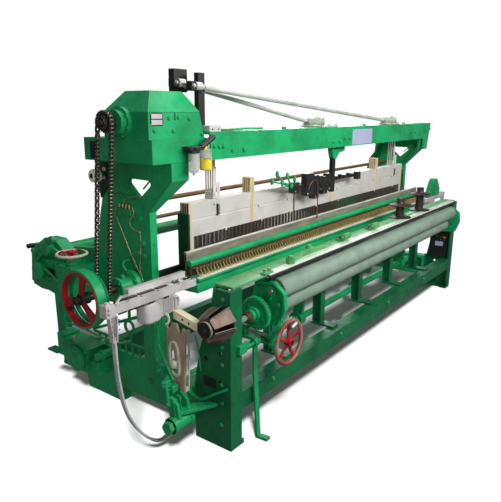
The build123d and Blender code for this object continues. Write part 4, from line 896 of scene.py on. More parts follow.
@dataclass
class Chain:
    """The drive chain, link by link, from the flywheel shaft to the dobby head."""

    pitch: float = 0.01905
    links: int = 110
    teeth: int = 17
    lower: tuple[float, float] = (0.68, 0.808)
    lean: float = 0.096
    plane: float = -0.235
    plate_radius: float = 0.0084
    waist: float = 0.86
    plate: float = 0.0022
    roller_radius: float = 0.0059
    pin_radius: float = 0.003
    inner_offset: float = 0.0068
    outer_offset: float = 0.0095

    def pins(self) -> tuple[Array, Array]:
        """Places of the pins as (y, z), and the centres of both sprockets.

        Going round, a pin climbs the rear run, turns half round the upper sprocket,
        comes down the front run and turns half round the lower one.
        """
        radius = self.pitch / (2 * math.sin(math.pi / self.teeth))
        span = (self.links - self.teeth) * self.pitch / 2
        up = np.array((-self.lean, math.sqrt(span**2 - self.lean**2))) / span
        rear = np.array((up[1], -up[0]))
        straight, half = self.links / 2 - self.teeth / 2, self.teeth / 2
        number = np.arange(self.links, dtype=float)
        turn_up = (number - straight) * 2 * np.pi / self.teeth
        turn_down = (number - 2 * straight - half) * 2 * np.pi / self.teeth
        where = [number < straight, number < straight + half, number < 2 * straight + half]
        along = np.select(
            where,
            [number * self.pitch, span + radius * np.sin(turn_up), span - (number - straight - half) * self.pitch],
            -radius * np.sin(turn_down),
        )
        across = np.select(
            where, [np.full_like(number, radius), radius * np.cos(turn_up), np.full_like(number, -radius)],
            -radius * np.cos(turn_down),
        )
        low = np.array(self.lower)
        return low + along[:, None] * up + across[:, None] * rear, np.array((low, low + span * up))

    def link_plates(self, first: int, offset: float, pins: Array) -> Shape:
        """Figure-of-eight plates on every second link, both sides.

        A plate's half height is the end circle's beyond the pins, and between them it
        dips to the waist as a cosine.

        Args:
            first: 0 for outer links, 1 for inner ones.
            offset: distance of the plates from the chain's middle plane.
            pins: places of all pins.

        Returns:
            The plates.
        """
        half = self.pitch / 2
        t = np.linspace(0, 2 * np.pi, 22, endpoint=False)
        u = (half + self.plate_radius) * np.cos(t)
        beyond = np.sqrt(np.maximum(self.plate_radius**2 - np.maximum(np.abs(u) - half, 0) ** 2, 0))
        dip = 1 - (1 - self.waist) * 0.5 * (1 + np.cos(np.pi * np.clip(u / half, -1, 1)))
        outline = np.column_stack((u, np.sign(np.sin(t)) * beyond * dip))
        near, faces = prism(outline, offset - self.plate / 2, offset + self.plate / 2, Along.Z, 0.0004)
        far = near * (1, 1, -1)
        plates, faces = joined((near, faces), (far, faces))
        ends = np.roll(pins, -1, 0)
        chosen = np.arange(first, self.links, 2)
        middle, run = (pins[chosen] + ends[chosen]) / 2, ends[chosen] - pins[chosen]
        run = run / np.linalg.norm(run, axis=1, keepdims=True)
        y = middle[:, :1] + run[:, :1] * plates[:, 0] - run[:, 1:] * plates[:, 1]
        z = middle[:, 1:] + run[:, 1:] * plates[:, 0] + run[:, :1] * plates[:, 1]
        x = np.broadcast_to(self.plane + plates[:, 2], y.shape)
        return np.stack((x, y, z), axis=-1).reshape(-1, 3), repeated(faces, len(chosen), len(plates))

    def build(self) -> None:
        """Make the chain and the sprocket faces."""
        pins, centres = self.pins()
        places = np.column_stack((np.full(len(pins), self.plane), pins))
        half_pin = self.outer_offset + self.plate
        pin = turning((self.pin_radius,) * 2, (-half_pin, half_pin), HERE, Along.X, 8)
        roller = turning((self.roller_radius,) * 2, (-self.inner_offset, self.inner_offset), HERE, Along.X, 10)
        piece = Piece("roller_chain", slot="chain_steel", stands_for=("drive_chain",))
        piece.add(
            CHAIN_BLACK, self.link_plates(0, self.outer_offset, pins), self.link_plates(1, self.inner_offset, pins)
        )
        piece.add(CHAIN_PALE, copies(roller, places), copies(pin, places))
        piece.make()
        hubs = Piece("sprocket_hubs", slot="chain_steel")
        for y, z in centres:
            rim = turning(
                (0.034, 0.036, 0.036, 0.03, 0.03), (-0.02, -0.018, -0.006, -0.004, -0.003), (self.plane, y, z),
                Along.X,
            )
            hubs.add(OILED_IRON, rim)
            bolts = bolt_circle((self.plane - 0.02, y, z), 0.024, (0.5, 2.6, 4.7))
            hubs.add(CHAIN_BLACK, heads(bolts, Along.X, 0.005, 0.005))
            hubs.add(
                OILED_IRON, ring(0.024, 0.005, (self.plane - 0.021, y, z), Along.X, 32),
                turning(
                    (0.01, 0.014, 0.015, 0.015), (-0.03, -0.028, -0.024, -0.018), (self.plane, y, z), Along.X, 20
                ),
            )
        hubs.make()
        behind = Piece("chain_guides")
        behind.add(GREEN, block((-0.1345, 0.688, 1.516), (-0.129, 0.74, 1.58)))
        carrier = (
            (0.938, 1.262), (0.952, 1.39), (0.962, 1.458), (0.95, 1.489), (0.886, 1.489), (0.845, 1.412),
            (0.86, 1.344),
        )
        behind.add(SHADE_GREEN, prism(rounded(carrier, 0.004, 2), -0.012, 0.003, Along.X))
        behind.add(
            WHITE_STRIP, block((-0.022, 0.872, 1.42), (-0.011, 0.9, 1.441), 0.003),
            block((-0.022, 0.882, 1.374), (-0.011, 0.902, 1.392), 0.003),
        )
        # Painted shade: a thin black sheet stands for the shaded inside of a recess.
        recess = ((0.8, 1.498), (0.846, 1.498), (0.844, 1.59), (0.796, 1.59))
        behind.add(BLACK, prism(rounded(recess, 0.004, 2), -0.1322, -0.13, Along.X, 0.0004))
        behind.make()


def spokes(
    count: int, start: float, ends: tuple[float, float], widths: tuple[float, float], thickness: float, centre: Point,
    along: Along, bow: float = 0.0,
) -> Shape:
    """Spokes that widen outwards and bow along the wheel's axis.

    A spoke's middle line is bow * 4 t (1 - t) off the wheel's plane at the part t
    of its length.

    Args:
        count: number of spokes.
        start: angle of the first, in degrees.
        ends: inner and outer ends.
        widths: widths at the two ends.
        thickness: thickness along the axis.
        centre: the wheel's centre.
        along: the wheel's axis.
        bow: depth of the bow.

    Returns:
        All spokes.
    """
    t = np.linspace(0, 1, 7)
    width = widths[0] + (widths[1] - widths[0]) * t**2
    middle = np.column_stack((ends[0] + (ends[1] - ends[0]) * t, np.zeros(7), bow * 4 * t * (1 - t)))
    section = rounded(((-0.5, -0.5), (0.5, -0.5), (0.5, 0.5), (-0.5, 0.5)), 0.25)
    flat = np.zeros((7, len(section)))
    points, faces = skin(
        laid(
            middle[:, None] + np.stack(
                (flat, width[:, None] * section[:, 0], flat + thickness * section[:, 1]), axis=-1
            ),
            along,
        )
    )
    spoke = points + np.array(centre), faces
    return joined(*(turned(spoke, start + 360 / count * i, centre, along) for i in range(count)))


@dataclass
class HandWheel:
    """A handwheel with a worn rim, red spokes and hub, and its bare shaft."""

    body: str
    centre: Point
    radius: float
    rim: float
    count: int
    rim_finish: Finish
    along: Along
    shaft: tuple[float, float]

    def piece(self) -> Piece:
        """The wheel's piece, not yet made, in place of the CAD node with its body's name."""
        piece = Piece(f"{self.body}_body", self.body, "red_paint", (self.body,))
        centre, along, radius, rim = self.centre, self.along, self.radius, self.rim
        piece.add(self.rim_finish, ring(radius, rim, centre, along, 72))
        piece.add(
            RED, spokes(self.count, 12.0, (0.018, radius - rim * 0.35), (0.015, 0.026), 0.011, centre, along, 0.012),
            ring(radius - rim * 0.42, rim * 0.5, centre, along, 72),
            turning((0.018, 0.024, 0.024, 0.018), (-0.02, -0.016, 0.016, 0.02), centre, along, 28),
        )
        start, end = list(centre), list(centre)
        start[along.value[2]], end[along.value[2]] = self.shaft
        piece.add(STEEL, rod(tuple(start), tuple(end), 0.012))
        return piece


@dataclass
class Wheels:
    """The flywheel and the two handwheels."""

    flywheel: Point = (-0.388, 0.68, 0.808)
    flywheel_radius: float = 0.156
    flywheel_width: float = 0.058
    front: HandWheel = field(
        default_factory=lambda: HandWheel(
            "front_handwheel", (0.323, -0.14, 0.552), 0.119, 0.022, 5, WORN_RIM, Along.Y, (-0.16, 0.182)
        )
    )
    let_off: HandWheel = field(
        default_factory=lambda: HandWheel(
            "let_off_handwheel", (-0.118, 1.1, 0.93), 0.086, 0.016, 3, CREAM_RIM, Along.Z, (0.77, 0.948)
        )
    )

    def build_flywheel(self) -> None:
        """Make the flywheel: green rim with a red face, three red spokes and a grooved pulley."""
        radius, width = self.flywheel_radius, self.flywheel_width
        piece = Piece("flywheel_body", "flywheel", "red_paint", ("flywheel",))
        rim = (
            (radius - 0.02, 0.003), (radius - 0.001, 0.003), (radius, 0.005), (radius, width - 0.004),
            (radius - 0.003, width), (radius - 0.012, width), (radius - 0.012, 0.034), (radius - 0.02, 0.03),
        )
        pulley = (
            (0.128, width), (0.142, width), (0.146, width + 0.004), (0.136, width + 0.012), (0.146, width + 0.02),
            (0.142, width + 0.024), (0.128, width + 0.024),
        )
        piece.add(GREEN, lathe(rim, self.flywheel, Along.X, 72), lathe(pulley, self.flywheel, Along.X, 72))
        face = (
            (radius - 0.02, 0.002), (radius - 0.018, 0.0), (radius - 0.012, 0.0), (radius - 0.01, 0.003),
            (radius - 0.014, 0.006), (radius - 0.0195, 0.01), (radius - 0.0195, 0.032), (radius - 0.0235, 0.032),
            (radius - 0.0235, 0.004),
        )
        piece.add(RED, lathe(face, self.flywheel, Along.X, 72))
        middle = (self.flywheel[0] + 0.014, self.flywheel[1], self.flywheel[2])
        piece.add(RED, spokes(3, -18.0, (0.026, radius - 0.018), (0.04, 0.062), 0.012, middle, Along.X))
        hub = ((0.0222, 0.006), (0.028, 0.006), (0.031, 0.01), (0.031, width), (0.0222, width))
        piece.add(SHADE_GREEN, lathe(hub, self.flywheel, Along.X, 36))
        piece.make()
        cap = Piece("flywheel_nut", "flywheel", "steel_bright")
        cap.add(BLACK, heads([(self.flywheel[0] - 0.022, *self.flywheel[1:])], Along.X, 0.018, 0.006))
        cap.make()

    def build(self) -> None:
        """Make all three wheels."""
        self.build_flywheel()
        front = self.front.piece()
        x, y, z = self.front.centre
        grip = turning(
            (0.006, 0.01, 0.012, 0.011, 0.007), (0.0, 0.004, 0.03, 0.052, 0.056), (x + 0.01, y - 0.016, z + 0.086),
            Along.X, 18,
        )
        front.add(STEEL, turned(grip, 12.0, (x, y, z), Along.Y))
        front.make()
        self.let_off.piece().make()


FRONT_CLAMP: tuple[tuple[Finish, Point, Point, float], ...] = (
    (WHITE_STRIP, (-0.008, -0.003, 0.004), (0.02, 0.002, 0.19), 0.001),
    (WHITE_STRIP, (0.0, -0.003, 0.18), (0.012, 0.002, 0.25), 0.001),
    (WHITE_STRIP, (0.026, -0.004, -0.034), (0.054, 0.0, 0.098), 0.001),
    (WHITE_STRIP, (0.012, -0.0035, 0.076), (0.04, 0.001, 0.098), 0.001),
    (OILED_IRON, (0.022, -0.005, -0.102), (0.036, 0.0, -0.03), 0.0008),
    (STEEL, (0.034, -0.004, -0.096), (0.052, 0.0, -0.036), 0.001),
)


@dataclass
class HealdFrames:
    """Four heald frames: grooved rails, end stiles, lifting strips, wooden spacers, clips and wires."""

    count: int = 4
    first: float = 0.5
    pitch: float = 0.018
    thickness: float = 0.012
    start: float = 0.247
    top: float = 1.24
    bottom: float = 0.72
    top_rail: float = 0.196
    low_rail: float = 0.098
    stile: float = 0.04
    strip_inset: float = 0.218
    spacer_inset: float = 0.598
    strip_top: float = 1.56
    spacer_top: float = 1.335
    wires: int = 520

    def rail(self, low: float, high: float, y: float) -> Shape:
        """One rail with a shallow groove along its middle on both faces.

        Args:
            low: the rail's lower edge.
            high: its upper edge.
            y: its middle plane.

        Returns:
            The new shape.
        """
        middle, half, groove = (low + high) / 2, self.thickness / 2, 0.0025
        profile = (
            (y, low + 0.002), (y + 0.002, low), (y + 2 * half - 0.002, low), (y + 2 * half, low + 0.002),
            (y + 2 * half, middle - 0.004), (y + 2 * half - groove, middle), (y + 2 * half, middle + 0.004),
            (y + 2 * half, high - 0.002), (y + 2 * half - 0.002, high), (y + 0.002, high), (y, high - 0.002),
            (y, middle + 0.005), (y + groove, middle + 0.003), (y + groove, middle - 0.003), (y, middle - 0.005),
        )
        return prism(profile, self.start, LOOM_WIDTH - self.start, Along.X, 0.0005)

    def healds(self, number: int, y: float, start: float, end: float, top: float) -> Shape:
        """Flat heald wires, each with a wider eye at its middle, unevenly bunched.

        A wire's place is its even share of the width plus 0.012 * sin(0.9 i + frame),
        so that they crowd and part along the frame.

        Args:
            number: number of the frame, which shifts its bunches.
            y: middle of the frame.
            start: first wire.
            end: last wire.
            top: underside of the upper rail.

        Returns:
            All wires of one frame.
        """
        low = self.bottom + self.low_rail
        eye = (low + top) / 2
        half = np.array((0.0015, 0.0015, 0.0045, 0.0045, 0.0015, 0.0015))
        heights = np.array((low - 0.002, eye - 0.03, eye - 0.012, eye + 0.012, eye + 0.03, top + 0.002))
        outline = np.column_stack((np.concatenate((half, -half[::-1])), np.concatenate((heights, heights[::-1]))))
        wire = prism(outline, -0.0008, 0.0008, Along.Y, 0.0003)
        count = np.arange(self.wires)
        x = np.linspace(start, end, self.wires) + 0.012 * np.sin(0.9 * count + number)
        return copies(wire, np.column_stack((x, np.full(self.wires, y), np.zeros(self.wires))))

    def build_one(self, number: int) -> None:
        """Make one heald frame.

        Args:
            number: counted from 0 at the front.
        """
        y = self.first + number * self.pitch
        end = LOOM_WIDTH - self.start
        piece = Piece(
            f"heald_{number + 1}_rails", f"heald_frame_{number + 1}", "aluminium", (f"heald_frame_{number + 1}",)
        )
        rail_floor = self.top - self.top_rail
        piece.add(
            ALUMINIUM, self.rail(rail_floor, self.top, y), self.rail(self.bottom, self.bottom + self.low_rail, y)
        )
        for left, edge in ((self.start, self.start), (end - self.stile, end - 0.021)):
            piece.add(
                ALUMINIUM,
                block(
                    (left + 0.001, y + 0.001, self.bottom + 0.09),
                    (left + self.stile, y + self.thickness - 0.001, rail_floor + 0.01), 0.001,
                ),
            )
            piece.add(
                WOOD,
                block(
                    (edge, y - 0.001, self.bottom + 0.01),
                    (edge + 0.021, y + self.thickness + 0.001, self.top + 0.002), 0.0015,
                ),
            )
        for x in (self.start + self.strip_inset, end - self.strip_inset):
            piece.add(
                WHITE_STRIP,
                block((x - 0.007, y + 0.0045, self.top - 0.035), (x + 0.007, y + 0.0075, self.strip_top), 0.001),
            )
            piece.add(
                ALUMINIUM,
                block((x - 0.009, y + 0.001, self.top - 0.09), (x + 0.009, y + 0.011, self.top + 0.045), 0.0015),
            )
            if number == 0:
                for finish, low, high, bevel in FRONT_CLAMP:
                    piece.add(
                        finish,
                        block(tuple(np.add((x, y, self.top), low)), tuple(np.add((x, y, self.top), high)), bevel),
                    )
            piece.add(
                STEEL,
                heads([(x, y - 0.002, self.top + 0.028), (x, y - 0.002, self.top - 0.03)], Along.Y, 0.005, 0.003),
            )
        for x in (self.start + self.spacer_inset, end - self.spacer_inset):
            piece.add(
                WOOD,
                block(
                    (x - 0.022, y - 0.001, rail_floor + 0.004),
                    (x + 0.022, y + self.thickness + 0.001, self.spacer_top), 0.0025,
                ),
            )
        if number == 0:
            piece.add(WOOD, block((1.874, y - 0.004, rail_floor + 0.004), (1.906, y + 0.004, rail_floor + 0.09)))
            clip = prism(
                ((-0.011, 0.009), (-0.006, -0.006), (0.0, -0.012), (0.006, -0.006), (0.011, 0.009)), -0.007, 0.003,
                Along.Y, 0.001,
            )
            middle = (rail_floor + self.top) / 2
            upper = [(x, y, middle) for x in (0.92, 1.264, 1.993, 2.353, 2.685, 3.091)]
            lower = [(x, y, rail_floor) for x in (0.571, 0.946, 1.296, 1.659, 2.015, 2.716, 3.125)]
            piece.add(WHITE_STRIP, copies(clip, upper + lower))
        piece.add(HEALD_WIRE, self.healds(number, y + self.thickness / 2, self.start + 0.05, end - 0.05, rail_floor))
        piece.make()

    def build(self) -> None:
        """Make all heald frames."""
        for number in range(self.count):
            self.build_one(number)


@dataclass
class Sley:
    """The sley: green beam with a pale race strip, toothed guide comb, reed and capping tube."""

    start: float = 0.1
    front: float = 0.296
    back: float = 0.4
    race: float = 0.88
    bottom: float = 0.79
    tube_height: float = 0.066
    tube_radius: float = 0.019
    teeth: int = 122

    def build(self) -> None:
        """Make the sley's pieces."""
        end = LOOM_WIDTH - self.start
        race, front = self.race, self.front
        piece = Piece("sley_beam", "sley", "green_paint", ("sley",))
        beam = (
            (front + 0.014, race - 0.001), (front + 0.014, race - 0.008), (front, race - 0.01), (front, race - 0.022),
            (front + 0.024, race - 0.022), (front + 0.024, race - 0.044), (front + 0.012, race - 0.044),
            (front + 0.012, self.bottom), (self.back, self.bottom), (self.back, race - 0.001),
        )
        piece.add(GREEN, prism(rounded(beam, 0.002, 2), self.start, end, Along.X))
        piece.add(
            WHITE_STRIP, block((self.start, front + 0.001, race - 0.009), (end, front + 0.016, race + 0.001), 0.0015)
        )
        tube_z = race + self.tube_height
        tube_y = self.back - 0.032
        piece.add(GREEN, rod((self.start, tube_y, tube_z), (end, tube_y, tube_z), self.tube_radius, 28, 0.003))
        # The dark block and the dark strip behind the comb are painted shade for the gap between comb, reed and tube.
        piece.add(
            SLEY_SHADE_DARK,
            block((self.start, self.back - 0.044, race - 0.002), (end, self.back - 0.02, tube_z - 0.01), 0.001),
        )
        piece.add(
            COMB_SHADE_DARK,
            block(
                (self.start + 0.01, self.back - 0.05, race - 0.001), (end - 0.01, self.back - 0.043, race + 0.04),
                0.001,
            ),
        )
        piece.make()
        comb = Piece("guide_comb", "sley", "bronze", ("guide_teeth",))
        left, right = self.start + 0.02, end - 0.02
        comb.add(COMB_TAN, block((left, front + 0.016, race - 0.001), (right, front + 0.026, race + 0.005), 0.001))
        hook = np.array(
            (
                (0.024, 0.003), (0.036, 0.003), (0.047, 0.026), (0.047, 0.038), (0.04, 0.045), (0.03, 0.044),
                (0.03, 0.039), (0.037, 0.035), (0.036, 0.028),
            )
        )
        tooth = prism(hook + (front, race), -0.0026, 0.0026, Along.X, 0.0008)
        places = np.column_stack(
            (np.linspace(left + 0.01, right - 0.01, self.teeth), np.zeros(self.teeth), np.zeros(self.teeth))
        )
        comb.add(COMB_TAN, copies(tooth, places))
        comb.make()
        cap = Piece("reed_cap", "sley", "aluminium")
        cap.add(
            REED_BOARD,
            block((self.start, self.back - 0.0145, race + 0.072), (end, self.back + 0.001, race + 0.124), 0.0015),
        )
        cap.add(
            ALUMINIUM,
            block((self.start, self.back - 0.0155, race + 0.12), (end, self.back + 0.002, race + 0.127), 0.001),
        )
        cap.make()


@dataclass
class Table:
    """The breast table: pale green plate with a rounded nose painted near-white as its sheen, and what stands on it.
    """

    top: float = 0.9
    thickness: float = 0.014
    front: float = 0.014
    back: float = 0.135
    skirt: float = 0.048
    start: float = 0.037
    nose_start: float = 0.33
    nose_front: float = -0.01
    bracket: float = 0.104
    spools: tuple[tuple[float, float, float], ...] = ((2.33, 0.088, 0.16), (2.77, 0.088, 0.2))

    def build_plate(self) -> None:
        """Make the plate, its back skirt and the nose."""
        top, floor = self.top, self.top - self.thickness
        end = LOOM_WIDTH - self.start
        piece = Piece("table_plate", stands_for=("table",))
        plate = (
            (self.front, floor), (self.back - 0.008, floor), (self.back - 0.008, top - self.skirt),
            (self.back, top - self.skirt), (self.back, top), (self.front, top),
        )
        piece.add(PALE_GREEN, prism(rounded(plate, 0.002, 2), self.start, end, Along.X))
        front, right = self.nose_front, LOOM_WIDTH - self.bracket
        nose = (
            (self.front + 0.036, top - 0.002), (self.front + 0.036, top + 0.0012), (front + 0.01, top + 0.0008),
            (front + 0.004, top - 0.003), (front + 0.006, top - 0.006), (self.front + 0.01, top - 0.006),
        )
        # The nose is coloured near-white as painted sheen.
        piece.add(NOSE_SHEEN_STEEL, prism(rounded(nose, 0.002, 2), self.nose_start, right, Along.X))
        # Painted shade: the black strip under the nose stands for the shaded front and underside of the nose.
        lip = (
            (front + 0.004, top - 0.004), (front, top - 0.01), (front, top - 0.026), (front + 0.008, top - 0.026),
            (front + 0.008, floor), (self.front + 0.008, floor), (self.front + 0.008, top - 0.004),
        )
        piece.add(BLACK_PLASTIC, prism(rounded(lip, 0.002, 2), self.nose_start + 0.001, right - 0.001, Along.X))
        piece.make()

    def build_spools(self) -> None:
        """Make the flanged spools as turned pieces."""
        piece = Piece("flanged_spools", slot="black_plastic", stands_for=("spools",))
        for x, y, height in self.spools:
            radii = (
                0.088, 0.092, 0.092, 0.08, 0.036, 0.033, 0.034, 0.08, 0.092, 0.092, 0.086, 0.035, 0.03, 0.03, 0.026
            )
            heights = (
                0.0, 0.002, 0.006, 0.009, 0.013, 0.03, height - 0.068, height - 0.062, height - 0.058, height - 0.054,
                height - 0.05, height - 0.044, height - 0.036, height - 0.004, height,
            )
            piece.add(SPOOL_BROWN, turning(radii, heights, (x, y, self.top), Along.Z, 40))
        piece.make()

    def build_fittings(self) -> None:
        """Make the cloth temples and the stop lever's bosses."""
        piece = Piece("temple_rings", slot="silver_cast", stands_for=("temples",))
        for x in (1.29, 1.75):
            base = rounded(((x - 0.034, 0.04), (x + 0.03, 0.04), (x + 0.026, 0.112), (x - 0.026, 0.112)), 0.012)
            piece.add(
                PALE_GREEN, prism(base, self.top, self.top + 0.01, Along.Z),
                pipe(
                    [(x, 0.108, self.top + 0.01), (x - 0.004, 0.085, self.top + 0.026), (x, 0.058, self.top + 0.03)],
                    0.01, sides=12,
                ),
            )
            rings = [
                turning(
                    (0.015, 0.021, 0.021, 0.015), (-0.007, -0.005, 0.005, 0.007),
                    (x - 0.03 + 0.018 * i, 0.046, self.top + 0.03), Along.X, 20,
                )
                for i in range(5)
            ]
            piece.add(PALE_GREEN, *rings)
            piece.add(
                STEEL, rod((x - 0.042, 0.046, self.top + 0.03), (x + 0.052, 0.046, self.top + 0.03), 0.006, 12),
                heads(
                    [(x - 0.016, 0.096, self.top + 0.01), (x + 0.016, 0.096, self.top + 0.01)], Along.Z, 0.007, 0.006,
                    1.0,
                ),
            )
        piece.make()
        lever = Piece("stop_lever_knobs")
        for x, y, rise in ((0.59, 0.034, 0.034), (0.9, 0.1, 0.03)):
            lever.add(
                PALE_GREEN,
                turning(
                    (0.016, 0.018, 0.014, 0.006), (0.0, 0.006, 0.012, 0.013), (x, y, self.top + rise), Along.Z, 24
                ),
            )
        lever.make()

    def build(self) -> None:
        """Make the table and its fittings."""
        self.build_plate()
        self.build_spools()
        self.build_fittings()


@dataclass
class DobbyHead:
    """Details of the head: bare plate, cover bolts, posts, filter bowls and the black tube."""

    box_front: float = 0.392
    floor: float = 1.49
    ring_centre: tuple[float, float] = (0.584, 1.689)

    def build_box_details(self) -> None:
        """Make the bolts, seams, cover ring and bare plate of the box."""
        piece = Piece("dobby_fasteners")
        front = self.box_front
        piece.add(
            GREEN,
            heads(
                [
                    (0.008, front, 1.711), (0.075, front, 1.713), (0.152, front, 1.708), (0.037, front, 1.648),
                    (-0.092, front, 1.652), (0.246, front, 1.628),
                ],
                Along.Y, 0.01, 0.008,
            ),
        )
        piece.add(BLACK, block((0.046, front - 0.003, 1.7), (0.052, front + 0.001, 1.738), 0.0008))
        ring_bolts = bolt_circle((-0.153, *self.ring_centre), 0.071, np.radians(np.arange(8) * 45 + 20))
        piece.add(GREEN, heads(ring_bolts, Along.X, 0.006, 0.006))
        seam = ((-0.1325, 1.7375), (-0.1325, 1.7425), (0.2295, 1.7425), (0.2295, 1.7375))
        piece.add(GREEN, prism(seam, front - 0.003, front + 0.004, Along.Y, 0.001))
        piece.make()
        plate = Piece("head_plate", slot="aluminium")
        plate.add(BLACK, block((-0.118, front - 0.002, 1.674), (-0.034, front + 0.0005, 1.736), 0.0006))
        for low, high in ((1.679, 1.703), (1.708, 1.731)):
            plate.add(GREY_PLATE, block((-0.112, front - 0.0032, low), (-0.04, front - 0.001, high), 0.0006))
        plate.add(
            STEEL,
            heads([(x, front - 0.002, z) for x in (-0.115, -0.037) for z in (1.677, 1.733)], Along.Y, 0.0022, 0.002),
        )
        plate.make()

    def build_posts(self) -> None:
        """Make the rod clamps and pins of the lever posts."""
        piece = Piece("post_fittings", slot="aluminium_tube")
        for x, y, z, radius in ((0.188, 0.505, 1.888, 0.022), (0.234, 0.425, 1.872, 0.021)):
            piece.add(
                PALE_TUBE,
                turning(
                    (radius - 0.003, radius, radius, radius - 0.004), (0.004, 0.008, 0.048, 0.054), (x, y, z),
                    Along.X, 24,
                ),
                ring(radius - 0.002, 0.006, (x + 0.07, y, z - 0.012), Along.X, 24),
            )
            piece.add(STEEL, heads([(x - 0.018, y - 0.014, z)], Along.Y, 0.009, 0.007))
        piece.make()

    def build_filter(self) -> None:
        """Make the air filter set: manifold, caps, clear bowls, yellow cup and gauge tube."""
        floor = self.floor + 0.056
        piece = Piece("filter_set", slot="black_plastic", stands_for=("lubricator",))
        piece.add(
            BLACK_PLASTIC, block((0.074, 0.312, floor + 0.004), (0.18, 0.371, floor + 0.024), 0.003),
            block((0.1, 0.302, floor + 0.004), (0.124, 0.314, floor + 0.022)),
        )
        for x, y, radius, drop in (
            (0.112, 0.33, 0.028, 0.11), (0.148, 0.343, 0.019, 0.098), (0.203, 0.327, 0.032, 0.048)
        ):
            cap = BLACK_PLASTIC if x < 0.18 else BOWL
            piece.add(
                cap,
                turning(
                    (radius - 0.003, radius, radius, radius - 0.004), (-0.012, -0.01, 0.004, 0.008), (x, y, floor),
                    Along.Z, 28,
                ),
            )
            wall = (
                (radius - 0.0025, -0.01), (radius, -0.01), (radius, -drop + 0.01), (radius - 0.008, -drop),
                (0.0, -drop - 0.002), (0.0, -drop + 0.002), (radius - 0.01, -drop + 0.005),
                (radius - 0.0025, -drop + 0.013),
            )
            piece.add(BOWL, lathe(wall, (x, y, floor), Along.Z))
            piece.add(WHITE_STRIP, rod((x, y, floor - 0.012), (x, y, floor - drop * 0.7), radius * 0.25, 12))
            piece.add(
                STEEL,
                turning((0.004, 0.006, 0.005), (-drop - 0.012, -drop - 0.006, -drop), (x, y, floor), Along.Z, 12),
            )
        piece.add(
            YELLOW,
            turning((0.026, 0.032, 0.033, 0.033), (-0.102, -0.098, -0.09, -0.044), (0.203, 0.327, floor), Along.Z),
            turning((0.012, 0.014, 0.01), (0.006, 0.014, 0.024), (0.198, 0.326, floor), Along.Z, 20),
        )
        piece.make()
        tube = Piece("black_tube", slot="black_plastic")
        start, end = np.array((0.166, 0.328, 1.562)), np.array((0.272, 0.328, 1.616))
        tube.add(
            BLACK_PLASTIC, rod(tuple(start), tuple(end), 0.015, 24, 0.005),
            rod(tuple(start - 0.2 * (end - start)), tuple(start), 0.009, 16),
        )
        tube.make()

    def build(self) -> None:
        """Make the head's details."""
        self.build_box_details()
        self.build_posts()
        self.build_filter()


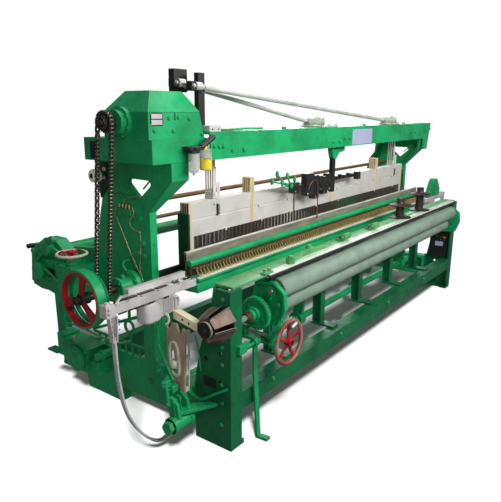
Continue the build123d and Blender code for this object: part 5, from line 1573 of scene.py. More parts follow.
@dataclass
class Beam:
    """Bolts, bare plate, knobs and crank details of the top beam."""

    front: float = 0.345
    top: float = 1.636

    def build(self) -> None:
        """Make the beam's details."""
        piece = Piece("beam_fasteners")
        spots = (
            (0.295, 1.564), (0.337, 1.559), (0.371, 1.56), (0.45, 1.534), (0.555, 1.533), (1.615, 1.533),
            (1.713, 1.531), (1.79, 1.554), (1.872, 1.551), (3.1, 1.56), (3.22, 1.56), (3.52, 1.56), (3.6, 1.58),
        )
        piece.add(
            GREEN, heads([(x, self.front, z) for x, z in spots], Along.Y, 0.013, 0.01),
            heads([(x, 0.4, self.top) for x in (1.05, 1.632, 2.223, 3.05)], Along.Z, 0.014, 0.012, 1.0),
        )
        piece.make()
        plate = Piece("beam_plate", slot="aluminium")
        plate.add(BARE_PLATE, block((1.915, self.front - 0.0022, 1.496), (2.262, self.front + 0.0005, 1.612), 0.0008))
        plate.add(
            STEEL,
            heads(
                [(x, self.front - 0.002, z) for x in (1.925, 2.252) for z in (1.504, 1.604)], Along.Y, 0.004, 0.003
            ),
        )
        plate.make()
        cranks = Piece("crank_brackets_body", slot="aluminium_tube", stands_for=("crank_brackets",))
        for x, y in ((1.545, 0.505), (2.7, 0.425)):
            self.add_crank(cranks, x, y)
        cranks.make()
        ducts = Piece("beam_duct")
        ducts.add(PALE_TUBE, block((0.268, 0.352, self.top), (0.362, 0.43, self.top + 0.034), 0.003))
        ducts.add(
            STEEL, heads([(0.29, 0.352, self.top + 0.017), (0.34, 0.352, self.top + 0.017)], Along.Y, 0.006, 0.004)
        )
        ducts.add(
            GREEN,
            pipe(
                [(0.36, 0.4, 1.652), (0.455, 0.4, 1.644), (0.64, 0.4, 1.647), (0.81, 0.4, 1.645)], 0.006,
                (0.0, 1.0, 0.0),
            ),
        )
        ducts.make()

    def add_crank(self, piece: Piece, x: float, y: float) -> None:
        """Add one set of pull-wire rollers between cheeks, with its clevis, wire loop and bolts.

        Args:
            piece: the piece to add to.
            x: end of the pull rod.
            y: middle of the pull rod.
        """
        top, axle = self.top, self.top + 0.036
        piece.add(PALE_TUBE, block((x - 0.06, 0.366, top), (x + 0.17, y + 0.04, top + 0.01)))
        for cheek in (x - 0.052, x + 0.15):
            piece.add(
                PALE_TUBE,
                prism(
                    rounded(
                        (
                            (y - 0.04, top + 0.008), (y + 0.03, top + 0.008), (y + 0.01, top + 0.056),
                            (y - 0.036, top + 0.062),
                        ),
                        0.008,
                    ),
                    cheek, cheek + 0.007, Along.X,
                ),
            )
        piece.add(STEEL, rod((x - 0.06, y - 0.022, axle), (x + 0.164, y - 0.022, axle), 0.007, 14))
        wheel = turning(
            (0.018, 0.0235, 0.0235, 0.016, 0.016, 0.0235, 0.0235, 0.018),
            (-0.011, -0.01, -0.007, -0.004, 0.004, 0.007, 0.01, 0.011), HERE, Along.X, 24,
        )
        places = [(x - 0.03 + 0.028 * i, y - 0.022, axle) for i in range(6)]
        piece.add(CRANK_PALE, copies(wheel, places))
        piece.add(PALE_TUBE, block((x, y - 0.012, top + 0.01), (x + 0.03, y + 0.02, top + 0.056), 0.003))
        loop = [
            (x + 0.02, y - 0.03, top + 0.06), (x + 0.05, y - 0.03, top + 0.066), (x + 0.09, y - 0.03, top + 0.06),
            (x + 0.12, y - 0.03, top + 0.04), (x + 0.16, y - 0.03, top + 0.03),
        ]
        piece.add(
            STEEL, pipe(loop, 0.003, (0.0, 1.0, 0.0)),
            heads(
                [(x - 0.045, 0.376, top + 0.01), (x + 0.155, 0.376, top + 0.01), (x + 0.055, 0.376, top + 0.01)],
                Along.Z, 0.009, 0.008, 1.0,
            ),
        )


@dataclass
class SideFrames:
    """Bolts, bosses, ribs and oil pipes on the side frames and stands."""

    shaft: tuple[float, float] = (0.68, 0.808)
    disc: tuple[float, float] = (0.901, 1.397)

    def build_bolts(self) -> None:
        """Make the bolts of both frames and stands."""
        piece = Piece("frame_bolts")
        web = [
            (0.0, y, z)
            for y, z in (
                (0.624, 1.178), (0.607, 1.044), (0.642, 0.982), (0.606, 0.972), (0.9, 0.3), (1.36, 0.6), (0.6, 0.22)
            )
        ]
        stand = [
            (0.0, y, z)
            for y, z in (
                (0.054, 0.582), (0.055, 0.485), (0.06, 0.37), (0.057, 0.264), (0.063, 0.137), (0.048, 0.84),
                (0.048, 0.78),
            )
        ]
        piece.add(
            GREEN, *both_ends(heads(web, Along.X, 0.016, 0.012)), *both_ends(heads(stand, Along.X, 0.0095, 0.008)),
            *both_ends(heads([(0.026, 0.551, 1.042)], Along.Y, 0.009, 0.006)),
        )
        # Painted shade: black discs and a flush black patch stand for the shaded insides of holes and a recess in the
        # stands.
        holes = [(0.0, y, z) for y, z in ((0.166, 0.491), (0.166, 0.64), (0.12, 0.25))]
        piece.add(BLACK, *both_ends(copies(turning((0.015, 0.015), (-0.001, 0.001), HERE, Along.X, 20), holes)))
        recess = prism(
            rounded(((0.095, 0.335), (0.186, 0.335), (0.186, 0.392), (0.095, 0.392)), 0.008), -0.001, 0.001, Along.X,
            0.0002,
        )
        piece.add(BLACK, *both_ends(recess))
        piece.add(GREEN, heads([(x, 0.002, 0.269) for x in (0.382, 1.2, 2.0, 2.8)], Along.Y, 0.012, 0.01))
        piece.make()

    def build_ribs(self) -> None:
        """Make the curved rib under the head and the cable shelf across the web."""
        piece = Piece("frame_ribs")
        rib = [(0.0, 0.4, 1.47), (0.0, 0.45, 1.437), (0.0, 0.526, 1.396), (0.0, 0.59, 1.343)]
        section = ((-0.004, -0.004), (0.002, -0.004), (0.002, 0.004), (-0.004, 0.004))
        piece.add(
            GREEN, *both_ends(sweep(smoothed(rib), section, (1.0, 0.0, 0.0))),
            block((-0.014, 0.606, 1.292), (0.002, 0.83, 1.3), 0.001),
        )
        piece.make()

    def build_lattice(self) -> None:
        """Make the ribs, brace and ring across the lower opening of the left frame."""
        piece = Piece("lower_lattice")
        low, high = 0.003, 0.017
        piece.add(GREEN, block((low, 0.636, 0.398), (high, 1.11, 0.412), 0.003))
        rib = prism(
            ((-0.006, 0.336), (0.006, 0.336), (0.016, 0.402), (0.004, 0.402)), low + 0.001, high - 0.001, Along.X
        )
        piece.add(
            GREEN, copies(rib, [(0.0, y, 0.0) for y in (0.69, 0.75, 0.81, 0.87, 0.93, 0.99, 1.05)]),
            prism(((0.636, 0.606), (0.636, 0.626), (1.12, 0.424), (1.12, 0.404)), low + 0.002, high - 0.002, Along.X),
            lathe(
                ((0.028, 0.0), (0.042, 0.0), (0.044, -0.01), (0.034, -0.014), (0.028, -0.01)),
                (low + 0.008, 0.77, 0.515), Along.X, 36,
            ),
            block((low, 0.762, 0.408), (high, 0.778, 0.476)), block((low, 0.762, 0.554), (high, 0.778, 0.644)),
        )
        piece.make()

    def build_oil_pipes(self) -> None:
        """Make the oil distributor and its two thin pipes, clipped to the web."""
        piece = Piece("oil_pipes", slot="bronze")
        piece.add(GREEN, block((-0.02, 0.684, 1.19), (0.001, 0.796, 1.222)))
        piece.add(
            COPPER,
            *(
                turning((0.004, 0.006, 0.006, 0.003), (0.0, 0.003, 0.02, 0.026), (-0.01, y, 1.222), Along.Z, 10)
                for y in (0.7, 0.725, 0.752, 0.78)
            ),
        )
        first = (
            (0.79, 1.236), (0.814, 1.215), (0.816, 1.173), (0.762, 1.07), (0.706, 0.966), (0.66, 0.893),
            (0.618, 0.826),
        )
        second = (
            (0.69, 1.236), (0.678, 1.226), (0.671, 1.203), (0.707, 1.149), (0.678, 1.113), (0.634, 1.106),
            (0.624, 1.085), (0.628, 0.978), (0.64, 0.9), (0.624, 0.84),
        )
        third = ((0.752, 1.246), (0.742, 1.262), (0.72, 1.28), (0.64, 1.3), (0.6, 1.304))
        piece.add(COPPER, *(pipe([(-0.006, y, z) for y, z in line], 0.0032) for line in (first, second, third)))
        clips = [(-0.001, y, z) for y, z in ((0.63, 1.106), (0.706, 0.966), (0.64, 0.9))]
        piece.add(STEEL, copies(block((-0.01, -0.006, -0.005), (0.002, 0.006, 0.005), 0.001), clips))
        piece.make()

    def build_bearings(self) -> None:
        """Make the main shaft with its stepped, bolted bearing, and the disc behind the chain."""
        piece = Piece("main_shaft_body", slot="steel_bright", stands_for=("main_shaft",))
        y, z = self.shaft
        centre = (0.0, y, z)
        piece.add(OILED_IRON, rod((-0.41, y, z), (LOOM_WIDTH + 0.02, y, z), 0.0218, 32))
        piece.add(
            GREEN,
            turning(
                (0.04, 0.056, 0.06, 0.06, 0.046, 0.045, 0.052, 0.078, 0.08, 0.08, 0.056, 0.056),
                (-0.15, -0.149, -0.145, -0.132, -0.126, -0.08, -0.066, -0.058, -0.054, -0.03, -0.026, 0.0), centre,
                Along.X, 48,
            ),
        )
        bolts = bolt_circle((-0.058, y, z), 0.067, np.radians((30, 90, 150, 210, 270, 330)))
        piece.add(GREEN, heads(bolts, Along.X, 0.008))
        ends = bolt_circle((-0.15, y, z), 0.046, np.radians((45, 135, 225, 315)))
        piece.add(
            GREEN, heads(ends, Along.X, 0.006, 0.006),
            turning((0.01, 0.012, 0.012, 0.008), (0.0, 0.004, 0.02, 0.026), (-0.1, y, z + 0.042), Along.Z, 14),
            pipe(
                [
                    (-0.04, y + 0.02, z + 0.06), (-0.05, y + 0.05, z + 0.1), (-0.02, y + 0.06, z + 0.12),
                    (0.0, y + 0.05, z + 0.12),
                ],
                0.007, (0.0, 1.0, 0.0), 10,
            ),
        )
        piece.make()
        disc = Piece("pale_disc", slot="aluminium")
        y, z = self.disc
        disc.add(GREEN, rod((-0.05, y, z), (-0.011, y, z), 0.016))
        body = (
            (0.013, -0.014), (0.026, -0.014), (0.036, -0.006), (0.038, 0.004), (0.038, 0.03), (0.028, 0.036),
            (0.013, 0.036),
        )
        disc.add(PALE_CAP, lathe(body, (-0.08, y, z), Along.X))
        # Painted shade: the black rod fills the cap's bore and stands for its shaded inside.
        disc.add(BLACK, rod((-0.0945, y, z), (-0.046, y, z), 0.0155))
        disc.make()

    def build(self) -> None:
        """Make the frames' details."""
        self.build_bolts()
        self.build_ribs()
        self.build_lattice()
        self.build_oil_pipes()
        self.build_bearings()


@dataclass
class RapierSide:
    """Details of the left rapier gear: tray castings, case, tape, lever, linkage and band wheel."""

    tray_front: float = 0.294
    tray_top: float = 0.884
    tape_y: float = 0.302

    def build_tray(self) -> None:
        """Make the castings and dark gear inside the tray."""
        piece = Piece("tray_castings", slot="silver_cast")
        top, front = self.tray_top, self.tray_front
        piece.add(BLACK_PLASTIC, block((-0.43, front + 0.036, 0.86), (0.062, front + 0.064, 0.872)))
        piece.add(SILVER, block((-0.44, front + 0.014, 0.866), (0.064, front + 0.034, top - 0.001)))
        piece.add(BLACK_PLASTIC, block((-0.42, front + 0.05, 0.857), (-0.322, front + 0.088, 0.864)))
        windows = ((-0.43, -0.3), (-0.289, -0.188), (-0.172, -0.102), (-0.058, -0.022), (0.014, 0.05))
        piece.add(
            BLACK_PLASTIC,
            *(
                block((low, front + 0.0345, 0.866), (high, front + 0.0595, top + 0.0022), 0.0008)
                for low, high in windows
            ),
        )
        piece.add(
            SILVER,
            prism(
                ((-0.322, front + 0.058), (-0.296, front + 0.082), (0.064, front + 0.082), (0.064, front + 0.058)),
                0.868, top + 0.003, Along.Z,
            ),
        )
        for low, high, rise in (
            (-0.3, -0.291, 0.0), (-0.186, -0.174, -0.001), (-0.1, -0.062, 0.003), (-0.02, 0.01, 0.006)
        ):
            piece.add(SILVER, block((low, front + 0.03, 0.868), (high, front + 0.066, top + rise)))
        piece.add(
            SILVER,
            prism(
                ((-0.452, front + 0.02), (-0.436, front + 0.02), (-0.352, front + 0.086), (-0.366, front + 0.092)),
                0.872, top + 0.006, Along.Z,
            ),
        )
        piece.add(
            PALE_GREEN,
            turning((0.006, 0.009, 0.007), (0.0, 0.01, 0.014), (-0.04, front + 0.052, top - 0.004), Along.Z, 14),
        )
        piece.add(
            WHITE_STRIP,
            turning((0.005, 0.008, 0.006), (0.0, 0.012, 0.018), (-0.012, front + 0.044, top), Along.Z, 14),
        )
        piece.add(
            BRONZE, block((-0.27, front + 0.042, 0.87), (-0.25, front + 0.058, top - 0.002)),
            block((-0.226, front + 0.04, 0.87), (-0.214, front + 0.056, top - 0.004)),
        )
        slots = ((-0.452, -0.4), (-0.388, -0.292), (-0.262, -0.226), (-0.16, -0.128))
        piece.add(
            BLACK_PLASTIC,
            *(block((low, front - 0.0008, 0.838), (high, front + 0.002, 0.846), 0.0005) for low, high in slots),
        )
        screws = [(x, front + 0.008, top) for x in (-0.455, -0.38, -0.3, -0.19, -0.05, 0.05)]
        piece.add(STEEL, heads(screws, Along.Z, 0.005, 0.005, 1.0))
        piece.add(
            SILVER, heads([(-0.505, 0.292, 0.862), (-0.505, 0.292, 0.882)], Along.Y, 0.008, 0.01),
            heads([(-0.5, 0.312, 0.896)], Along.Z, 0.01, 0.012, 1.0),
        )
        piece.make()

    def build_case(self) -> None:
        """Make the rounded rapier case over its CAD solid, with ribs and the two white handles."""
        piece = Piece("rapier_case_body", slot="silver_cast", stands_for=("rapier_case",))
        outline = rounded(((-0.275, 0.3), (-0.165, 0.3), (-0.165, 0.394), (-0.275, 0.394)), 0.036, 6)
        levels = (0.721, 0.7225, 0.727, 0.735, 0.81, 0.826, 0.832)
        insets = (0.02, 0.012, 0.005, 0.0, 0.0, 0.006, 0.014)
        piece.add(SILVER, skin(stacked([shrunk(outline, inset) for inset in insets], levels)))
        neck = rounded(((-0.205, 0.733), (-0.07, 0.747), (-0.07, 0.846), (-0.205, 0.846)), 0.012, 4)
        piece.add(
            SILVER, prism(neck, 0.304, 0.386, Along.Y, 0.006),
            block((-0.245, 0.308, 0.8), (-0.229, 0.328, 0.846), 0.003),
            block((-0.1, 0.302, 0.79), (-0.086, 0.33, 0.846), 0.003),
            block((-0.084, 0.292, 0.756), (-0.062, 0.308, 0.832), 0.004),
        )
        rib = block((-0.0025, 0.299, 0.758), (0.0025, 0.306, 0.834), 0.001)
        piece.add(SILVER, copies(rib, [(x, 0.0, 0.0) for x in (-0.158, -0.146, -0.134, -0.122, -0.11, -0.098)]))
        handle = [
            (-0.15, 0.3, 0.752), (-0.15, 0.286, 0.748), (-0.146, 0.282, 0.726), (-0.152, 0.286, 0.706),
            (-0.156, 0.294, 0.7),
        ]
        piece.add(WHITE_STRIP, pipe(handle, 0.007, (1.0, 0.0, 0.0), 12))
        hook = [
            (-0.092, 0.3, 0.816), (-0.088, 0.29, 0.828), (-0.074, 0.287, 0.828), (-0.066, 0.288, 0.812),
            (-0.066, 0.292, 0.776),
        ]
        piece.add(
            SILVER, pipe(hook, 0.0045, (0.0, 1.0, 0.0), 12),
            heads([(-0.185, 0.304, 0.76), (-0.185, 0.304, 0.82), (-0.12, 0.304, 0.77)], Along.Y, 0.005, 0.005),
        )
        piece.add(
            GREEN, turning((0.01, 0.014, 0.014, 0.01), (-0.02, -0.016, 0.0, 0.002), (-0.14, 0.33, 0.722), Along.Z, 20)
        )
        piece.make()

    def build_tape(self) -> None:
        """Make the curved tape, its channel's holes and the end block."""
        piece = Piece("rapier_tape", slot="silver_cast")
        # Painted shade: black discs stand for the shaded insides of the channel's holes.
        holes = [(x, 0.2895, z) for x in (-0.494, -0.452) for z in (0.818, 0.793, 0.768, 0.744)]
        piece.add(BLACK, copies(turning((0.0035, 0.0035), (0.0, 0.002), HERE, Along.Y, 12), holes))
        piece.add(WARM_SILVER, block((-0.136, 0.288, 0.06), (-0.086, 0.316, 0.084)))
        line = smoothed(
            (
                (-0.138, self.tape_y, 0.075), (-0.224, self.tape_y, 0.068), (-0.338, self.tape_y, 0.167),
                (-0.426, self.tape_y, 0.32), (-0.4685, self.tape_y, 0.524), (-0.4785, self.tape_y, 0.72),
            ),
            8,
        )
        lip = np.array(((-0.0125, -0.0045), (-0.0095, -0.0045), (-0.0095, 0.0045), (-0.0125, 0.0045)))
        piece.add(SILVER, sweep(line, lip), sweep(line, lip * (-1, 1)))
        piece.make()

    def build_lever(self) -> None:
        """Make the slotted lever: notched plate with an oval opening, raised ring, boss and laddered flange."""
        piece = Piece("slotted_lever_body", slot="silver_cast", stands_for=("slotted_lever",))
        face, back = -0.11, -0.096
        outline = (
            (0.208, 0.668), (0.224, 0.676), (0.246, 0.636), (0.268, 0.69), (0.3, 0.69), (0.322, 0.646), (0.34, 0.668),
            (0.344, 0.425), (0.332, 0.385), (0.266, 0.335), (0.242, 0.314), (0.222, 0.318),
        )
        oval = rounded(
            (
                (0.318, 0.545), (0.306, 0.588), (0.276, 0.592), (0.256, 0.545), (0.25, 0.48), (0.252, 0.42),
                (0.275, 0.398), (0.306, 0.412), (0.318, 0.47),
            ),
            0.03, 4,
        )
        piece.add(WARM_SILVER, frame_plate(outline, oval, face, back, Along.X))
        ring_path = np.column_stack((np.full(len(oval) + 1, face - 0.002), np.concatenate((oval, oval[:1]))))
        section = rounded(((-0.006, -0.006), (0.005, -0.006), (0.005, 0.006), (-0.006, 0.006)), 0.003, 2)
        # The raised ring, boss and flange are coloured near-white as painted highlight.
        piece.add(
            LEVER_HIGHLIGHT, sweep(ring_path, section, (1.0, 0.0, 0.0)),
            block((face + 0.003, 0.246, 0.438), (back - 0.001, 0.32, 0.488)),
        )
        piece.add(
            WARM_SILVER,
            prism(
                ((0.276, 0.484), (0.292, 0.484), (0.304, 0.596), (0.29, 0.596)), face + 0.004, back - 0.001, Along.X
            ),
        )
        piece.add(
            LEVER_HIGHLIGHT,
            turning((0.021, 0.023, 0.02, 0.012), (0.006, -0.012, -0.02, -0.024), (face, 0.287, 0.466), Along.X, 28),
        )
        for left, right, low, high in (
            (-0.0755, -0.068, 0.318, 0.664), (-0.103, -0.096, 0.318, 0.664),
            *((-0.101, -0.07, a, b) for a, b in ((0.318, 0.34), (0.413, 0.435), (0.51, 0.524), (0.6, 0.664))),
        ):
            near = 0.222 - 0.04 * (np.array((low, high)) - 0.318)
            piece.add(
                LEVER_HIGHLIGHT,
                prism(
                    ((near[0], low), (near[0] + 0.012, low), (near[1] + 0.012, high), (near[1], high)), left, right,
                    Along.X, 0.001,
                ),
            )
        piece.make()

    def build_linkage(self) -> None:
        """Make the linkage cap, bolts, curved arm to the stand and the long green rod."""
        piece = Piece("linkage_details")
        pivot = (0.0, 0.204, 0.19)
        piece.add(GREEN, turning((0.034, 0.036, 0.036, 0.03), (-0.264, -0.26, -0.24, -0.234), pivot, Along.X, 6))
        for start, end in ((-0.236, -0.21), (-0.12, -0.096)):
            piece.add(
                GREEN, turning((0.043, 0.045, 0.045, 0.041), (start, start + 0.004, end - 0.004, end), pivot, Along.X)
            )
        section = rounded(((-0.012, -0.007), (0.012, -0.007), (0.012, 0.007), (-0.012, 0.007)), 0.003, 2)
        arm = [
            (-0.03, 0.275, 0.296), (-0.03, 0.24, 0.266), (-0.03, 0.18, 0.262), (-0.024, 0.095, 0.315),
            (0.004, 0.02, 0.36),
        ]
        piece.add(
            GREEN, sweep(smoothed(arm), section, (1.0, 0.0, 0.0)),
            rod((-0.1, 0.275, 0.292), (0.0, 0.275, 0.292), 0.014),
        )
        for x in (-0.206, -0.16):
            piece.add(
                GREEN,
                frame_plate(
                    ((0.196, 0.222), (0.226, 0.222), (0.236, 0.326), (0.21, 0.326)),
                    ((0.208, 0.24), (0.218, 0.24), (0.226, 0.31), (0.217, 0.31)), x, x + 0.008, Along.X, 0.001,
                ),
            )
        piece.add(
            GREEN, block((-0.236, 0.228, 0.392), (-0.196, 0.262, 0.43), 0.004),
            block((-0.17, 0.246, 0.33), (-0.126, 0.29, 0.368), 0.004),
            rod((-0.24, 0.246, 0.412), (-0.092, 0.33, 0.412), 0.011),
            heads([(-0.236, 0.245, 0.404), (-0.236, 0.245, 0.422), (-0.17, 0.268, 0.349)], Along.X, 0.008, 0.008),
            rod((-0.216, 0.245, 0.396), (-0.21, 0.24, 0.3), 0.009),
            rod((-0.15, 0.363, 0.712), (-0.15, 0.361, 0.562), 0.0075, 14),
            rod((-0.15, 0.362, 0.568), (-0.15, 0.262, 0.394), 0.0085, 14),
        )
        block_bolts = [(-0.15, 0.366, 0.42), (-0.214, 0.24, 0.292)]
        piece.add(
            GREEN, heads(block_bolts, Along.X, 0.013, 0.01),
            block((-0.15, 0.34, 0.398), (-0.098, 0.392, 0.442), 0.006),
            heads([(-0.11, 0.34, 0.41), (-0.134, 0.34, 0.43)], Along.Y, 0.008, 0.008),
            pipe([(-0.03, 0.215, 0.62), (-0.034, 0.19, 0.56), (-0.034, 0.18, 0.48), (-0.02, 0.185, 0.42)], 0.004),
        )
        piece.make()

    def build_band_wheel(self) -> None:
        """Make the band wheel's black end discs, curved plates and the arm's holes."""
        piece = Piece("band_wheel_body", slot="silver_cast", stands_for=("band_wheel",))
        y, z = 0.045, 0.724
        start, end = -0.15, -0.003
        piece.add(BLACK, rod((start + 0.002, y, z), (0.0, y, z), 0.039))
        piece.add(
            DRUM_TAN,
            lathe(
                ((0.04, 0.004), (0.0425, 0.004), (0.0435, 0.006), (0.0435, 0.016), (0.04, 0.016)),
                (start + 0.002, y, z), Along.X, 40,
            ),
        )
        piece.add(
            BLACK, turning((0.041, 0.041), (0.003, 0.012), (start, y, z), Along.X),
            turning((0.077, 0.079, 0.079, 0.077), (0.0, 0.002, 0.007, 0.009), (end - 0.014, y, z), Along.X, 48),
        )
        sheet = np.array(
            (
                (0.0885, -0.043), (0.081, -0.036), (0.079, 0.0), (0.081, 0.036), (0.083, 0.036), (0.0815, 0.0),
                (0.0835, -0.035), (0.0885, -0.039),
            )
        )
        levels, shares = (start + 0.016, start + 0.026, end - 0.036, end), (0.66, 0.71, 0.95, 1.0)
        for i in range(5):
            angle = math.radians(68 + 72 * i)
            spun = np.column_stack(
                (
                    sheet[:, 0] * math.cos(angle) - sheet[:, 1] * math.sin(angle),
                    sheet[:, 0] * math.sin(angle) + sheet[:, 1] * math.cos(angle),
                )
            )
            piece.add(DRUM_BROWN, skin(laid(stacked([(y, z) + spun * share for share in shares], levels), Along.X)))
            lip = 0.086 * np.array((math.cos(angle - 0.46), math.sin(angle - 0.46)))
            piece.add(
                DRUM_TAN,
                rod((start + 0.017, y + 0.67 * lip[0], z + 0.67 * lip[1]), (end, y + lip[0], z + lip[1]), 0.002, 8),
            )
        piece.add(
            OILED_IRON, turning((0.01, 0.012, 0.012, 0.01), (-0.15, -0.149, -0.146, -0.144), (0.0, y, z), Along.X, 24)
        )
        piece.make()
        # Painted shade: black discs stand for the shaded insides of the arm's two holes.
        holes = Piece("arm_holes", slot="black_paint")
        spots = ((-0.0925, 0.24, 0.716), (-0.0925, 0.197, 0.706))
        holes.add(BLACK, copies(turning((0.006, 0.006), (0.0, 0.003), HERE, Along.X, 16), spots))
        holes.make()

    def build(self) -> None:
        """Make the rapier side's details."""
        self.build_tray()
        self.build_case()
        self.build_tape()
        self.build_lever()
        self.build_linkage()
        self.build_band_wheel()


@dataclass
class TakeUp:
    """Toothed gear, roller ends, bracket rim and worm bracket details."""

    y: float = 0.08
    z: float = 0.666
    gear_x: float = 0.31
    gear_width: float = 0.026
    teeth: int = 46
    module: float = 0.004

    def build_gear(self) -> None:
        """Make the gear with trapezoid teeth, a dished web and collars on its hub."""
        radius = self.teeth * self.module / 2
        root, tip = radius - 1.2 * self.module, radius + 0.9 * self.module
        pattern = np.array(((-0.3, root), (-0.13, tip), (0.13, tip), (0.3, root)))
        angle = (np.arange(self.teeth)[:, None] + pattern[None, :, 0]) * 2 * np.pi / self.teeth
        tooth = np.broadcast_to(pattern[:, 1], angle.shape)
        piece = Piece("take_up_gear_body", "take_up", "green_paint", ("take_up_gear",))
        low, high, centre = self.gear_x, self.gear_x + self.gear_width, (self.gear_x, self.y, self.z)
        outline, inner = (
            np.stack((self.y + size * np.cos(angle), self.z + size * np.sin(angle)), axis=-1).reshape(-1, 2)
            for size in (tooth, radius - 0.016)
        )
        toothed = prism(outline, low, high, Along.X, 0.0015)[0].reshape(4, -1, 3)
        edges = laid(stacked((inner, inner), (low, high)), Along.X)
        piece.add(
            GREEN, closed(np.concatenate((edges[:1], toothed, edges[1:]))),
            turning((0.08, 0.08), (0.01, 0.022), centre, Along.X, 48),
        )
        hub = (
            (0.0175, -0.052), (0.03, -0.052), (0.034, -0.048), (0.034, -0.03), (0.046, -0.028), (0.046, -0.016),
            (0.036, -0.012), (0.034, 0.034), (0.03, 0.038), (0.0175, 0.038),
        )
        piece.add(GREEN, lathe(hub, centre, Along.X, 36))
        piece.add(
            BRONZE,
            *(ring(0.024, 0.008, (self.gear_x - 0.06 - 0.012 * i, self.y, self.z), Along.X, 28) for i in range(3)),
        )
        spots = bolt_circle((low + 0.01, self.y, self.z), 0.06, np.radians(np.arange(4) * 90 + 30))
        piece.add(GREEN, heads(spots, Along.X, 0.007, 0.006))
        piece.make()

    def build_brackets(self) -> None:
        """Make the raised rims and bolts of the roller brackets."""
        outline = rounded(
            (
                (0.126, 0.832), (0.002, 0.846), (-0.068, 0.79), (-0.078, 0.7), (-0.04, 0.6), (0.13, 0.585),
                (0.165, 0.64),
            ),
            0.012, 4,
        )
        inner = shrunk(outline, 0.014)
        piece = Piece("bracket_rims")
        for low, high in ((0.372, 0.3775), (LOOM_WIDTH - 0.1035, LOOM_WIDTH - 0.098)):
            piece.add(GREEN, closed(laid(stacked((inner, outline, outline, inner), (low, low, high, high)), Along.X)))
        piece.add(
            GREEN,
            heads(
                [(0.378, 0.02, 0.745), (0.378, -0.032, 0.72), (0.378, 0.12, 0.8), (0.378, 0.1, 0.61)], Along.X, 0.01
            ),
        )
        piece.add(STEEL, turning((0.016, 0.0165, 0.014), (0.0, -0.004, -0.008), (0.378, 0.02, 0.788), Along.X, 24))
        piece.add(
            PALE_GREEN, block((0.3, 0.004, 0.9), (0.38, 0.04, 0.912), 0.003),
            heads([(0.325, 0.022, 0.912), (0.358, 0.022, 0.912)], Along.Z, 0.012, 0.016, 1.0),
        )
        piece.make()

    def build_worm(self) -> None:
        """Make the worm bracket's ribs and bolts, and the pedal's pin nut."""
        piece = Piece("worm_details")
        piece.add(
            GREEN,
            turning((0.028, 0.031, 0.031, 0.027), (-0.064, -0.06, -0.018, -0.014), (0.323, 0.0, 0.552), Along.Y),
            heads([(0.275, -0.06, 0.522), (0.372, -0.06, 0.64)], Along.Y, 0.01, 0.01),
        )
        section = rounded(((-0.004, -0.003), (0.004, -0.003), (0.004, 0.003), (-0.004, 0.003)), 0.001, 2)
        rim = smoothed(((0.265, -0.062, 0.53), (0.318, -0.062, 0.588), (0.364, -0.062, 0.64)))
        piece.add(GREEN, sweep(rim, section))
        piece.make()
        pin = Piece("pedal_nut")
        pin.add(STEEL, heads([(0.219, -0.009, 0.56)], Along.X, 0.014, 0.01, 1.0))
        pin.make()

    def build_roller_ends(self) -> None:
        """Make the bare end rings of both rollers."""
        for name, body, y, z in (
            ("press_roller_ends", "press_roller", 0.02, 0.788), ("take_up_roller_ends", "take_up", self.y, self.z)
        ):
            piece = Piece(name, body, "emery")
            for x in (0.43, LOOM_WIDTH - 0.15):
                out = -1.0 if x < 1.0 else 1.0
                piece.add(
                    STEEL,
                    turning(
                        (0.058, 0.06, 0.052, 0.03), (-0.004 * out, 0.001 * out, 0.004 * out, 0.005 * out), (x, y, z),
                        Along.X, 48,
                    ),
                )
            piece.make()

    def build(self) -> None:
        """Make the take-up details."""
        self.build_gear()
        self.build_brackets()
        self.build_worm()
        self.build_roller_ends()


